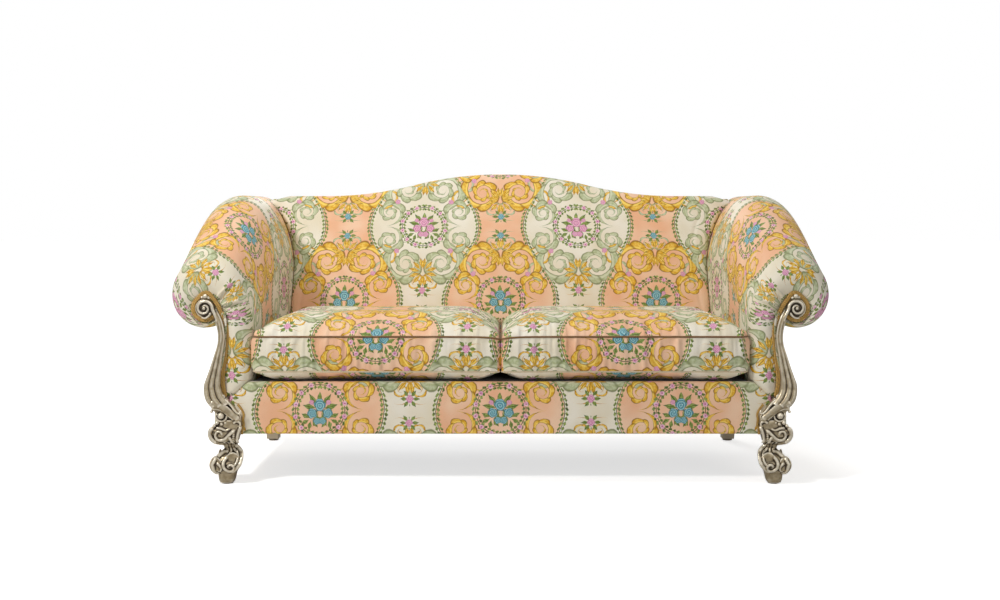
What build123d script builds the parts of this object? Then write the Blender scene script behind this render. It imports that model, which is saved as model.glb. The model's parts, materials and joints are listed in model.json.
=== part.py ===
from build123d import *
import os
from math import asin, cos, degrees, hypot, radians, sin, tan

os.makedirs("parts", exist_ok=True)

# Overall sizes, in millimetres
overall_width = 2260
overall_depth = 950
camel_height = 1079
side_height = 986
camel_half_width = 700
front_y = -overall_depth / 2
cloth_gap = 0.4

# Seat frame
rail_bottom = 171
rail_height = 147
rail_thickness = 32
rail_top = rail_bottom + rail_height
rail_front_y = front_y + 61
rail_back_y = rail_front_y + rail_thickness
block_leg = 90
block_height = 80
screw_head = 9
screw_shank = 5
screw_length = 45

# Arms
arm_front_y = front_y + 35
arm_front_height = 757
arm_rear_height = 998
arm_rise_length = 580
roll_radius = 118
roll_x = overall_width / 2 - roll_radius
roll_overhang = 124
arm_outer = overall_width / 2 - roll_overhang
arm_thickness = 144
arm_taper = 26
arm_inner_front = arm_outer - arm_thickness
arm_inner_rear = arm_inner_front - arm_taper
arm_hip = 380
arm_waist = 14
shoulder_angle = 56
throat_angle = 26
arm_pitch = 130
front_round = 24
board_inset = 20
board_thickness = 25
back_reach = arm_outer - 52
rail_reach = arm_outer - 21
side_rail_inner = rail_reach - 3 - rail_thickness
side_rail_outer = side_rail_inner + rail_thickness

# Raked back
back_rake = 8
panel_thickness = 8
frame_depth = 40
web_thickness = 2
web_width = 50
web_pitch = 210
post_outer = arm_inner_rear - 36
post_width = 45
top_rail_drop = 24
top_rail_height = 90
rake_sin = sin(radians(back_rake))
rake_cos = cos(radians(back_rake))
back_length = (camel_height - rail_bottom) / rake_cos
back_foot_y = overall_depth / 2 - back_length * rake_sin
rear_rail_back_y = back_foot_y - panel_thickness / rake_cos - 0.5
rear_rail_front_y = rear_rail_back_y - rail_thickness
back_plane = Plane(
    origin=(0, back_foot_y, rail_bottom), x_dir=(1, 0, 0), z_dir=(0, -rake_cos, rake_sin)
)

# Inside back and deck
pad_front_y = 162
pad_break_z = 505
pad_top_front_y = 338
pad_top_radius = 28
deck_thickness = 32
deck_top = rail_top + deck_thickness
border_thickness = 18
dust_thickness = 1.5
dust_reach = rail_reach - 97
spring_z = rail_top - 14
spring_wire = 4
spring_count = 6
spring_pitch = (2 * arm_inner_rear - 320) / (spring_count - 1)
spring_bends = 12
spring_half_width = 26
clip_width = 26
clip_depth = 10
clip_height = 14

# Show-wood legs and facings
front_leg_x = rail_reach - 44
front_leg_half = 52
front_leg_y = front_y + 61
rear_leg_x = rail_reach - 56
rear_foot_y = rear_rail_back_y + 2
rear_foot = 48
rear_top = 60
knee_top = 300
facing_thickness = 26
facing_width = 71
facing_height = 294
volute = (arm_outer, knee_top + facing_height)
volute_radius = 30
reed_width = 4
reed_depth = 5
gimp_radius = 4.5
bolt_diameter = 8
bolt_reach = 45
glide_radius = 19
glide_height = 8
glide_pin = 6

# Seat cushions
cushion_front_y = front_y + 29
cushion_back_y = pad_front_y - 12
cushion_side_gap = 6
cushion_middle_gap = 12
lower_seam = 386
upper_seam = 506
cushion_top = 574
cushion_draw = 9
cushion_corner = 40
top_crown = 212
under_crown = 160
piping_radius = 4.5
piping_clearance = 0.9
core_inset = 40
zip_length = 620
zip_height = 44
zip_travel = 560
tape_thickness = 1.6
chain_depth = 2.4
chain_height = 6


def save(piece, label):
    """Name a finished piece and write it out."""
    piece.part.label = label
    export_step(piece.part, f"parts/{label}.step")


def save_pair(piece, label):
    """Write a piece of the right-hand side and its mirror image on the left."""
    save(piece, f"{label}_right")
    with BuildPart() as twin:
        mirror(piece.part, about=Plane.YZ)
    save(twin, f"{label}_left")


def arm_crest(y):
    """Height of the top of the arm at depth y."""
    along = min(1, max(0, (y - arm_front_y) / arm_rise_length))
    rise = arm_rear_height - arm_front_height
    return arm_front_height + rise * sin(radians(90) * along) ** 1.2


def arm_inner(y):
    """Distance of the arm's inner face from the middle of the sofa at depth y."""
    along = (y - arm_front_y) / (pad_front_y - arm_front_y)
    return arm_inner_front + (arm_inner_rear - arm_inner_front) * along


def arm_section(y, inset, foot):
    """Cross-section of the right arm at depth y, taken in all round by inset."""
    radius = roll_radius - inset
    roll_z = arm_crest(y) - roll_radius

    def on_roll(angle):
        return (roll_x + radius * sin(radians(angle)), roll_z + radius * cos(radians(angle)))

    inner = arm_inner(y) + inset
    outer = arm_outer - inset
    shoulder = on_roll(-shoulder_angle)
    turn = radians(90 - shoulder_angle)
    inner_top = (inner, shoulder[1] - (shoulder[0] - inner) / tan(turn / 2))
    sweep_radius = (shoulder[0] - inner) / (1 - cos(turn))
    inner_mid = (
        inner + sweep_radius * (1 - cos(turn / 2)),
        inner_top[1] + sweep_radius * sin(turn / 2),
    )
    tuck = (roll_radius * sin(radians(throat_angle)) + 0.7 * inset) / radius
    throat = on_roll(180 + degrees(asin(tuck)))
    waist = ((throat[0] + outer) / 2 - arm_waist, (throat[1] + arm_hip) / 2)
    with BuildSketch(Plane.XZ.offset(-y)) as section:
        with BuildLine():
            Line((inner, foot), inner_top)
            ThreePointArc(inner_top, inner_mid, shoulder)
            ThreePointArc(shoulder, on_roll(10), on_roll(76))
            ThreePointArc(on_roll(76), on_roll(142), throat)
            ThreePointArc(throat, waist, (outer, arm_hip))
            Line((outer, arm_hip), (outer, foot))
            Line((outer, foot), (inner, foot))
        make_face()
    return section.sketch


def arm_body(spread):
    """Right arm from its rounded front to behind the raked back, grown all round by spread."""
    front = [(0, front_round), (8, front_round * 0.375), (30, 0)]
    with BuildPart() as body:
        loft(
            sections=[arm_section(arm_front_y + y, i - spread, rail_bottom) for y, i in front],
            ruled=True,
        )
        loft(
            sections=[
                arm_section(arm_front_y + 30 + arm_pitch * n, -spread, rail_bottom)
                for n in range(8)
            ]
        )
    return body


# Seat rails
with BuildPart() as front_rail:
    with BuildSketch(Plane.XY.offset(rail_bottom)):
        with Locations((0, (rail_front_y + rail_back_y) / 2)):
            Rectangle(2 * rail_reach, rail_thickness)
    extrude(amount=rail_height)

with BuildPart() as rear_rail:
    with BuildSketch(Plane.XY.offset(rail_bottom)):
        with Locations((0, (rear_rail_front_y + rear_rail_back_y) / 2)):
            Rectangle(2 * rail_reach, rail_thickness)
    extrude(amount=rail_height)

side_rail_length = rear_rail_front_y - rail_back_y
side_rail_y = (rear_rail_front_y + rail_back_y) / 2
with BuildPart() as side_rail:
    with BuildSketch(Plane.XY.offset(rail_bottom)):
        with Locations(((side_rail_inner + side_rail_outer) / 2, side_rail_y)):
            Rectangle(rail_thickness, side_rail_length)
    extrude(amount=rail_height)

with BuildPart() as centre_stretcher:
    with BuildSketch(Plane.XY.offset(rail_bottom)):
        with Locations((0, side_rail_y)):
            Rectangle(rail_thickness, side_rail_length)
    extrude(amount=rail_height / 2)
save(centre_stretcher, "centre_stretcher")

# Arm frames
with BuildPart() as arm_stump:
    extrude(arm_section(rail_front_y + board_thickness, board_inset, rail_top), board_thickness)

with BuildPart() as arm_rear_board:
    extrude(arm_section(rear_rail_back_y - 3, board_inset, rail_top), board_thickness)

stump_back_y = rail_front_y + board_thickness
rear_board_front_y = rear_rail_back_y - 3 - board_thickness
top_rail_depth = 50


def roll_line(share):
    """Point of the roll's centre line at a share of the way from stump to rear board."""
    y = stump_back_y + (rear_board_front_y - stump_back_y) * share
    return y, arm_crest(y) - roll_radius


with BuildPart() as arm_top_rail:
    with BuildSketch(Plane.YZ.offset(roll_x - 22)):
        with BuildLine():
            (y0, z0), (y1, z1), (y2, z2) = roll_line(0), roll_line(0.5), roll_line(1)
            low = -top_rail_depth
            ThreePointArc((y0, z0), (y1, z1), (y2, z2))
            Line((y2, z2), (y2, z2 + low))
            ThreePointArc((y2, z2 + low), (y1, z1 + low), (y0, z0 + low))
            Line((y0, z0 + low), (y0, z0))
        make_face()
    extrude(amount=44)
save_pair(arm_stump, "arm_stump")
save_pair(arm_rear_board, "arm_rear_board")
save_pair(arm_top_rail, "arm_top_rail")


# Back frame, on the layers of the raked plane
def along_back(z):
    """Distance up the raked plane of a point at height z on its rear face."""
    return (z - rail_bottom) / rake_cos


def back_outline(half_width, drop, foot, layer):
    """Outline of the back on a layer of the raked plane, its camel top lowered by drop."""
    top, side = along_back(camel_height) - drop, along_back(side_height) - drop
    bump = (top - side) / 2
    half = camel_half_width / 2
    radius = (half**2 + bump**2) / (2 * bump)
    swing = asin(half / radius) / 2
    dip_x, dip = camel_half_width - radius * sin(swing), side + radius * (1 - cos(swing))
    with BuildSketch(back_plane.offset(layer)) as outline:
        with BuildLine():
            Polyline((-half_width, foot), (-half_width, side), (-camel_half_width, side))
            ThreePointArc((-camel_half_width, side), (-dip_x, dip), (-half, side + bump))
            ThreePointArc((-half, side + bump), (0, top), (half, side + bump))
            ThreePointArc((half, side + bump), (dip_x, dip), (camel_half_width, side))
            Polyline(
                (camel_half_width, side), (half_width, side), (half_width, foot), (-half_width, foot)
            )
        make_face()
    return outline.sketch


def back_board(left, right, low, high, layer, thickness):
    """Straight board lying on a layer of the raked plane."""
    with BuildPart() as board:
        with BuildSketch(back_plane.offset(layer)):
            with Locations(((left + right) / 2, (low + high) / 2)):
                Rectangle(right - left, high - low)
        extrude(amount=thickness)
    return board.part


top_rail_foot = along_back(side_height) - top_rail_drop - top_rail_height
lower_rail_foot = along_back(rail_top) + 70
with BuildPart() as back_top_rail:
    extrude(
        back_outline(post_outer, top_rail_drop, top_rail_foot, panel_thickness), frame_depth
    )
save(back_top_rail, "back_top_rail")

with BuildPart() as back_post:
    add(back_board(post_outer - post_width, post_outer, 0, top_rail_foot, panel_thickness, frame_depth))
    split(bisect_by=Plane.XY.offset(rail_top), keep=Keep.TOP)
save_pair(back_post, "back_post")

with BuildPart() as back_centre_post:
    add(back_board(-post_width / 2, post_width / 2, 0, top_rail_foot, panel_thickness, frame_depth))
    split(bisect_by=Plane.XY.offset(rail_top), keep=Keep.TOP)
save(back_centre_post, "back_centre_post")

with BuildPart() as back_lower_rail:
    reach = post_outer - post_width
    add(back_board(-reach, reach, lower_rail_foot, lower_rail_foot + 70, panel_thickness, frame_depth))
    add(back_centre_post.part, mode=Mode.SUBTRACT)
save(back_lower_rail, "back_lower_rail")

web_layer = panel_thickness + frame_depth
with BuildPart() as back_webbing:
    for n in range(-3, 4):
        add(
            back_board(
                n * web_pitch - web_width / 2,
                n * web_pitch + web_width / 2,
                lower_rail_foot + 15,
                top_rail_foot + 55,
                web_layer,
                web_thickness,
            )
        )
save(back_webbing, "back_webbing")

# Inside back: a wedge of padding with a hollow for the back frame
lean = Plane(
    origin=(0, pad_front_y, pad_break_z),
    x_dir=(1, 0, 0),
    z_dir=(0, pad_break_z - side_height, pad_top_front_y - pad_front_y),
)
with BuildPart() as back_pad:
    extrude(
        back_outline(back_reach, 0, along_back(deck_top) - 60, panel_thickness + cloth_gap), 330
    )
    split(bisect_by=Plane.XY.offset(deck_top + cloth_gap), keep=Keep.TOP)
    split(bisect_by=Plane.XZ.offset(-pad_front_y), keep=Keep.BOTTOM)
    split(bisect_by=lean, keep=Keep.BOTTOM)
    lean_face = back_pad.faces().filter_by(lambda f: f.normal_at().dot(lean.z_dir) > 0.999)[0]
    fillet(lean_face.edges().filter_by(lambda e: e.center().Z > side_height - 60), pad_top_radius)
    crease = back_pad.edges().filter_by(Axis.X).sort_by(Axis.Y).filter_by(
        lambda e: abs(e.center().Z - pad_break_z) < 1
    )
    fillet(crease, 80)
    add(arm_body(cloth_gap).part, mode=Mode.SUBTRACT)
    mirror(arm_body(cloth_gap).part, about=Plane.YZ, mode=Mode.SUBTRACT)
    extrude(
        back_outline(post_outer + 2, top_rail_drop - 2, -20, 0),
        web_layer + web_thickness + 1,
        mode=Mode.SUBTRACT,
    )
save(back_pad, "back_pad")

# Outside back, covering the rear of the frame and of both arms
with BuildPart() as arm_rear_cover:
    extrude(arm_section(500, 3, rail_bottom), 220)
    split(bisect_by=back_plane, keep=Keep.TOP)
    split(bisect_by=back_plane.offset(panel_thickness), keep=Keep.BOTTOM)
with BuildPart() as outside_back:
    extrude(back_outline(back_reach, 0, 0, 0), panel_thickness)
    add(arm_rear_cover.part)
    mirror(arm_rear_cover.part, about=Plane.YZ)
save(outside_back, "outside_back")

# Padded front border and seat deck
with BuildPart() as front_border:
    with BuildSketch(Plane.YZ.offset(-arm_inner_front + 1)):
        with Locations((rail_front_y - border_thickness / 2, (rail_bottom + deck_top) / 2)):
            Rectangle(border_thickness, deck_top - rail_bottom)
    extrude(amount=2 * (arm_inner_front - 1))
    fillet(front_border.edges().filter_by(Axis.X).group_by(Axis.Y)[0], 8)
save(front_border, "front_border")

deck_back_y = rear_rail_front_y - 6
with BuildPart() as seat_deck:
    with BuildSketch(Plane.XY.offset(rail_top)):
        with BuildLine():
            wide, narrow = arm_inner(rail_front_y) - 1, arm_inner(deck_back_y) - 1
            Polyline(
                (-wide, rail_front_y),
                (wide, rail_front_y),
                (narrow, deck_back_y),
                (-narrow, deck_back_y),
                close=True,
            )
        make_face()
    extrude(amount=deck_thickness)
save(seat_deck, "seat_deck")

with BuildPart() as dust_cover:
    with BuildSketch(Plane.XY.offset(rail_bottom - dust_thickness)):
        with Locations((0, (rail_front_y + rear_rail_back_y) / 2)):
            Rectangle(2 * dust_reach, rear_rail_back_y - rail_front_y - 8)
    extrude(amount=dust_thickness)
save(dust_cover, "dust_cover")

# Sinuous springs between clips on the front and rear rails
spring_front_y, spring_back_y = rail_back_y + 0.6 * clip_depth, rear_rail_front_y - 0.6 * clip_depth
spring_step = (spring_back_y - spring_front_y) / spring_bends
spring_spots = [(n - (spring_count - 1) / 2) * spring_pitch for n in range(spring_count)]
zigzag = []
for n in range(spring_bends + 1):
    side = spring_half_width if n % 2 else -spring_half_width
    y = spring_front_y + n * spring_step
    zigzag += [(-side, y), (side, y)]
with BuildPart() as one_spring:
    with BuildLine(Plane.XY.offset(spring_z)) as wire:
        FilletPolyline(*zigzag, radius=spring_step * 0.42)
    with BuildSketch(Plane(origin=wire.wire() @ 0, z_dir=wire.wire() % 0)):
        Circle(spring_wire / 2)
    sweep()
with BuildPart() as seat_springs:
    with Locations(*[(x, 0, 0) for x in spring_spots]):
        add(one_spring.part)
save(seat_springs, "seat_springs")

with BuildPart() as spring_clips:
    for y in (rail_back_y + clip_depth / 2, rear_rail_front_y - clip_depth / 2):
        with Locations(*[(x, y, spring_z) for x in spring_spots]):
            Box(clip_width, clip_depth, clip_height)
    add(seat_springs.part, mode=Mode.SUBTRACT)
save(spring_clips, "spring_clips")

# Corner blocks, their screws, and the bolts that hold the legs
def corner_screw(spot, way):
    """Countersunk screw whose head stands at spot and whose shank runs along way."""
    with BuildPart() as screw:
        with BuildSketch(Plane(origin=spot, z_dir=way)):
            Circle(screw_head / 2)
        extrude(amount=3)
        with BuildSketch(Plane(origin=spot, z_dir=way)):
            Circle(screw_shank / 2)
        extrude(amount=screw_length)
    return screw.part


def corner(y, forward):
    """Block and screws of the right-hand corner at depth y, its inner side facing forward."""
    with BuildPart() as block:
        with BuildSketch(Plane.XY.offset(rail_bottom)):
            with BuildLine():
                Polyline(
                    (side_rail_inner, y),
                    (side_rail_inner - block_leg, y),
                    (side_rail_inner, y + forward * block_leg),
                    close=True,
                )
            make_face()
        extrude(amount=block_height)
    middle = rail_bottom + block_height / 2
    screws = [
        corner_screw((side_rail_inner - 45, y + forward * 20, middle - 18), (0, -forward, 0)),
        corner_screw((side_rail_inner - 20, y + forward * 45, middle + 18), (1, 0, 0)),
    ]
    with BuildPart() as driven:
        for screw in screws:
            add(screw)
    with BuildPart() as bored:
        add(block.part)
        add(driven.part, mode=Mode.SUBTRACT)
        with BuildSketch(
            Plane(
                origin=(side_rail_inner - 45, y + forward * 20, middle - 18),
                z_dir=(0, forward, 0),
            )
        ):
            Circle(screw_head / 2)
        extrude(amount=block_leg, mode=Mode.SUBTRACT)
        with BuildSketch(
            Plane(
                origin=(side_rail_inner - 20, y + forward * 45, middle + 18),
                z_dir=(-1, 0, 0),
            )
        ):
            Circle(screw_head / 2)
        extrude(amount=block_leg, mode=Mode.SUBTRACT)
    return bored.part, driven.part


front_corner, rear_corner = corner(rail_back_y, 1), corner(rear_rail_front_y, -1)
with BuildPart() as corner_blocks:
    for block, _ in (front_corner, rear_corner):
        add(block)
        mirror(block, about=Plane.YZ)
save(corner_blocks, "corner_blocks")
with BuildPart() as corner_screws:
    for _, driven in (front_corner, rear_corner):
        add(driven)
        mirror(driven, about=Plane.YZ)
save(corner_screws, "corner_screws")

# Arm pads, cut to fit round the frame inside them
with BuildPart() as arm_pad:
    add(arm_body(0).part)
    split(bisect_by=back_plane.offset(panel_thickness + cloth_gap), keep=Keep.TOP)
    for inside in (arm_stump, arm_rear_board, arm_top_rail, side_rail, front_rail, rear_rail):
        add(inside.part, mode=Mode.SUBTRACT)
    add(corner_blocks.part, mode=Mode.SUBTRACT)
    add(corner_screws.part, mode=Mode.SUBTRACT)
save_pair(arm_pad, "arm_pad")

bolt_spots = [
    (front_leg_x + 4, (rail_front_y + rail_back_y) / 2),
    (rear_leg_x, (rear_rail_front_y + rear_rail_back_y) / 2),
]
with BuildPart() as leg_bolts:
    for x, y in bolt_spots:
        with Locations((x, y, rail_bottom), (-x, y, rail_bottom)):
            Cylinder(bolt_diameter / 2, 2 * bolt_reach)
save(leg_bolts, "leg_bolts")

for rail, label in ((front_rail, "front_rail"), (rear_rail, "rear_rail")):
    with BuildPart() as bored_rail:
        add(rail.part)
        add(corner_screws.part, mode=Mode.SUBTRACT)
        add(leg_bolts.part, mode=Mode.SUBTRACT)
    save(bored_rail, label)
with BuildPart() as bored_side_rail:
    add(side_rail.part)
    add(corner_screws.part, mode=Mode.SUBTRACT)
save_pair(bored_side_rail, "side_rail")

# Floor glides under the four legs
glide_spots = [(front_leg_x, front_leg_y), (rear_leg_x, rear_foot_y)]
with BuildPart() as floor_glides:
    for x, y in glide_spots:
        with Locations((x, y), (-x, y)):
            Cylinder(glide_radius, glide_height, align=(Align.CENTER, Align.CENTER, Align.MIN))
            Cylinder(
                glide_pin / 2, glide_height + 18, align=(Align.CENTER, Align.CENTER, Align.MIN)
            )
save(floor_glides, "floor_glides")

# Front leg: a waisted foot under a scrolled knee that stands against the rail
front_leg_stations = [
    (glide_height, 0, 0.52),
    (0.19 * rail_bottom, -0.04, 0.63),
    (0.29 * rail_bottom, 0, 0.83),
    (0.40 * rail_bottom, 0, 1),
    (0.52 * rail_bottom, -0.12, 0.96),
    (0.64 * rail_bottom, -0.38, 0.67),
    (0.75 * rail_bottom, -0.38, 0.58),
    (0.88 * rail_bottom, -0.08, 0.9),
    (rail_bottom, 0.08, 1),
]
knee_height = knee_top - rail_bottom
knee_outline = [
    (-0.65, -0.08),
    (0.96, -0.08),
    (1.08, 0.16),
    (0.69, 0.33),
    (0.62, 0.58),
    (0.88, 0.75),
    (1.34, 0.87),
    (1.27, 1),
    (0.15, 1),
    (-0.42, 0.87),
    (-1.11, 0.72),
    (-1.34, 0.6),
    (-1.34, 0.35),
    (-0.96, 0.16),
]
knee = [
    (front_leg_x + x * front_leg_half, rail_bottom + z * knee_height) for x, z in knee_outline
]
with BuildPart() as front_leg:
    for z, shift, half in front_leg_stations:
        with BuildSketch(Plane.XY.offset(z)):
            move, width = shift * front_leg_half, 2 * half * front_leg_half
            with Locations((front_leg_x + move, front_leg_y - move)):
                RectangleRounded(width, width, width * 0.2)
    loft()
    with BuildSketch(Plane.XZ.offset(-arm_front_y + cloth_gap)):
        with BuildLine():
            FilletPolyline(*knee, radius=7, close=True)
        make_face()
    extrude(amount=arm_front_y - cloth_gap - front_y)
    add(floor_glides.part, mode=Mode.SUBTRACT)
    add(leg_bolts.part, mode=Mode.SUBTRACT)
save_pair(front_leg, "front_leg")

with BuildPart() as rear_leg:
    with BuildSketch(Plane.XY.offset(glide_height)):
        with Locations((rear_leg_x, rear_foot_y)):
            RectangleRounded(rear_foot, rear_foot, 3)
    with BuildSketch(Plane.XY.offset(rail_bottom)):
        with Locations((rear_leg_x, rear_rail_back_y - rear_top / 2)):
            RectangleRounded(rear_top, rear_top, 3)
    loft()
    add(floor_glides.part, mode=Mode.SUBTRACT)
    add(leg_bolts.part, mode=Mode.SUBTRACT)
save_pair(rear_leg, "rear_leg")

# Gimp braid along the inner edge of the show-wood and over the volute
gimp_plane = Plane.XZ.offset(-arm_front_y + gimp_radius + cloth_gap)


def on_facing(across, up):
    """Point of the facing, by its shares in from the arm's outer side and up from the knee."""
    return arm_outer - across * facing_width, knee_top + up * facing_height


def gimp_braid(radius):
    """Braid of the given radius, from the knee up round the volute."""
    with BuildPart() as braid:
        with BuildLine(gimp_plane) as path:
            stem = ThreePointArc(on_facing(0.92, 0.027), on_facing(0.775, 0.21), on_facing(0.89, 0.425))
            neck = TangentArc(on_facing(0.89, 0.425), on_facing(1.085, 0.833), tangent=stem % 1)
            curl = TangentArc(on_facing(1.085, 0.833), on_facing(0.507, 1.082), tangent=neck % 1)
            TangentArc(on_facing(0.507, 1.082), on_facing(-0.592, 1.041), tangent=curl % 1)
        with BuildSketch(Plane(origin=path.wire() @ 0, z_dir=path.wire() % 0)):
            Circle(radius)
        sweep()
    return braid


gimp_trim = gimp_braid(gimp_radius)
save_pair(gimp_trim, "gimp_trim")

# Carved facing: reeded stem rising to a volute
with BuildPart() as arm_facing:
    with BuildSketch(Plane.XZ.offset(-arm_front_y + cloth_gap)):
        with BuildLine():
            foot_in = (on_facing(0.845, 0)[0], knee_top + cloth_gap)
            foot_out = (on_facing(-0.03, 0)[0], knee_top + cloth_gap)
            hip, neck_out, neck_in = on_facing(0.296, 0.466), on_facing(0.451, 0.871), on_facing(1, 0.833)
            waist = on_facing(0.789, 0.425)
            ThreePointArc(foot_out, on_facing(-0.1, 0.17), hip)
            ThreePointArc(hip, on_facing(0.549, 0.697), neck_out)
            Polyline(
                neck_out,
                on_facing(0.085, 0.905),
                on_facing(0.296, 1.041),
                on_facing(0.845, 0.918),
                neck_in,
            )
            ThreePointArc(neck_in, on_facing(0.986, 0.68), waist)
            ThreePointArc(waist, on_facing(0.676, 0.21), foot_in)
            Line(foot_in, foot_out)
        make_face()
        with Locations(volute):
            Circle(volute_radius)
    extrude(amount=facing_thickness)
    with BuildSketch(Plane.XZ.offset(-arm_front_y + facing_thickness)):
        with Locations(volute):
            Circle(volute_radius * 0.6)
    extrude(amount=4)
    with BuildSketch(Plane.XZ.offset(-arm_front_y + cloth_gap + facing_thickness - reed_depth)):
        for share in (0.33, 0.67):
            with BuildLine():
                low = ThreePointArc(
                    on_facing(0.845 - 0.873 * share, 0.034),
                    on_facing(0.676 - 0.775 * share, 0.19),
                    on_facing(0.789 - 0.493 * share, 0.446),
                )
                TangentArc(low @ 1, on_facing(1 - 0.521 * share, 0.816), tangent=low % 1)
            trace(line_width=reed_width)
    extrude(amount=reed_depth, mode=Mode.SUBTRACT)
    add(gimp_braid(gimp_radius + cloth_gap).part, mode=Mode.SUBTRACT)
save_pair(arm_facing, "arm_facing")


# Seat cushions: crowned top and underside sewn to a boxing strip
def cushion_corners(inset, draw):
    """Plan of the right cushion taken in by inset, each side drawn in at its middle."""
    left = cushion_middle_gap / 2 + inset
    front, back = cushion_front_y + inset, cushion_back_y - inset
    front_right = arm_inner(cushion_front_y) - cushion_side_gap - inset
    back_right = arm_inner(cushion_back_y) - cushion_side_gap - inset
    middle = (front + back) / 2
    return [
        (left, front),
        ((left + front_right) / 2, front + draw),
        (front_right, front),
        ((front_right + back_right) / 2 - draw, middle),
        (back_right, back),
        ((left + back_right) / 2, back - draw),
        (left, back),
        (left + draw, middle),
    ]


def cushion_plan(inset, crown):
    """Points and corner radii of the cushion's outline, straighter towards the crown's top."""
    draw = 1 + (cushion_draw - 1) * (1 - inset / crown)
    spots = cushion_corners(inset, draw)
    radii = []
    for n in range(0, 8, 2):
        side = hypot(spots[n][0] - spots[n - 6][0], spots[n][1] - spots[n - 6][1])
        radii += [cushion_corner, 0.1 * side**2 / draw]
    return spots, radii


def cushion_slice(z, inset, crown):
    """Level cut through the cushion at height z."""
    spots, radii = cushion_plan(inset, crown)
    with BuildSketch(Plane.XY.offset(z)) as cut:
        with BuildLine():
            FilletPolyline(*spots, radius=radii, close=True)
        make_face()
    return cut.sketch


def cushion_crown(seam, height, crown):
    """Level cuts from a seam to the flat of the crown."""
    return [
        cushion_slice(
            seam + height * sin(radians(angle)), crown * (1 - cos(radians(angle))), crown
        )
        for angle in (0, 35, 62, 90)
    ]


def cushion_piping(seam, radius):
    """Piping cord round the cushion at a seam."""
    spots, radii = cushion_plan(0, top_crown)
    with BuildPart() as cord:
        with BuildLine(Plane.XY.offset(seam)) as path:
            FilletPolyline(*spots, radius=radii, close=True)
        with BuildSketch(Plane(origin=path.wire() @ 0, z_dir=path.wire() % 0)):
            Circle(radius)
        sweep()
    return cord


cushion_middle_x = (cushion_middle_gap / 2 + arm_inner(cushion_back_y) - cushion_side_gap) / 2
cushion_middle_y = (cushion_front_y + cushion_back_y) / 2
boxing_middle = (lower_seam + upper_seam) / 2
zip_bed_y = cushion_back_y - cushion_draw - 10

with BuildPart() as cushion_core:
    with BuildSketch(Plane.XY.offset(lower_seam + 12)):
        with Locations((cushion_middle_x, cushion_middle_y)):
            RectangleRounded(
                2 * (cushion_middle_x - core_inset),
                cushion_back_y - cushion_front_y - 2 * core_inset,
                20,
            )
    extrude(amount=upper_seam - lower_seam - 24)
save_pair(cushion_core, "cushion_core")

piping_top = cushion_piping(upper_seam, piping_radius)
piping_bottom = cushion_piping(lower_seam, piping_radius)
save_pair(piping_top, "piping_top")
save_pair(piping_bottom, "piping_bottom")

with BuildPart() as seat_cushion:
    loft(sections=cushion_crown(lower_seam, deck_top + cloth_gap - lower_seam, under_crown))
    loft(sections=[cushion_slice(z, 0, top_crown) for z in (lower_seam, upper_seam)])
    loft(sections=cushion_crown(upper_seam, cushion_top - upper_seam, top_crown))
    add(cushion_piping(upper_seam, piping_radius + piping_clearance).part, mode=Mode.SUBTRACT)
    add(cushion_piping(lower_seam, piping_radius + piping_clearance).part, mode=Mode.SUBTRACT)
    add(cushion_core.part, mode=Mode.SUBTRACT)
    with Locations((cushion_middle_x, zip_bed_y + 20, boxing_middle)):
        Box(zip_length + 12, 40, zip_height, mode=Mode.SUBTRACT)
save_pair(seat_cushion, "seat_cushion")

# Zip let into the rear of each boxing
with BuildPart() as zip_tape:
    with Locations((cushion_middle_x, zip_bed_y, boxing_middle)):
        Box(zip_length, tape_thickness, 24, align=(Align.CENTER, Align.MIN, Align.CENTER))
        Box(
            zip_length - 10,
            tape_thickness + chain_depth,
            chain_height,
            align=(Align.CENTER, Align.MIN, Align.CENTER),
        )
save_pair(zip_tape, "zip_tape")

slider_x = cushion_middle_x - zip_travel / 2
slider_bed_y = zip_bed_y + tape_thickness + cloth_gap
with BuildPart() as zip_slider:
    with Locations((slider_x, slider_bed_y, boxing_middle)):
        Box(14, 5.6, 13, align=(Align.CENTER, Align.MIN, Align.CENTER))
        Box(
            20,
            chain_depth,
            chain_height + 2 * cloth_gap,
            align=(Align.CENTER, Align.MIN, Align.CENTER),
            mode=Mode.SUBTRACT,
        )
    with Locations((slider_x, slider_bed_y + 5.6, boxing_middle - 7)):
        Box(6, 1.4, 20, align=(Align.CENTER, Align.MIN, Align.CENTER))
save_pair(zip_slider, "zip_slider")
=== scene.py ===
import json
from math import atan, cos, pi, radians, sin, tan

import bmesh
import bpy
import numpy as np
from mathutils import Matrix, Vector


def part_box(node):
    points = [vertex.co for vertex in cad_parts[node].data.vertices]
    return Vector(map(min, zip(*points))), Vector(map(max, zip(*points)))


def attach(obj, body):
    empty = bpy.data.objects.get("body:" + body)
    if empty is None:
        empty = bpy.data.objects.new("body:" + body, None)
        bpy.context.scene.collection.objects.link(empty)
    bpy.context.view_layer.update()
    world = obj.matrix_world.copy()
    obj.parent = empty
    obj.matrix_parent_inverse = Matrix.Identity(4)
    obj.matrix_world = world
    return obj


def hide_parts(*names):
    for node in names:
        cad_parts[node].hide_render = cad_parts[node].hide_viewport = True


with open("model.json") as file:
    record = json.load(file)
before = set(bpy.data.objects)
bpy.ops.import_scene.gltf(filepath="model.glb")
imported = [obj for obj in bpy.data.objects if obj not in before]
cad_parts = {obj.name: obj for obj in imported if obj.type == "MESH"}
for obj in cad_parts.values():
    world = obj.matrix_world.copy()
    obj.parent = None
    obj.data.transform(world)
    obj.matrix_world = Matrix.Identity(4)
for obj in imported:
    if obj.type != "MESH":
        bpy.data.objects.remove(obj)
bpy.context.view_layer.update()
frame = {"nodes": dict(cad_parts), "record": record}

scene = bpy.context.scene
nodes = frame["nodes"]
PAIR = ("right", "left")
SIDE = {"right": 1.0, "left": -1.0}


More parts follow.
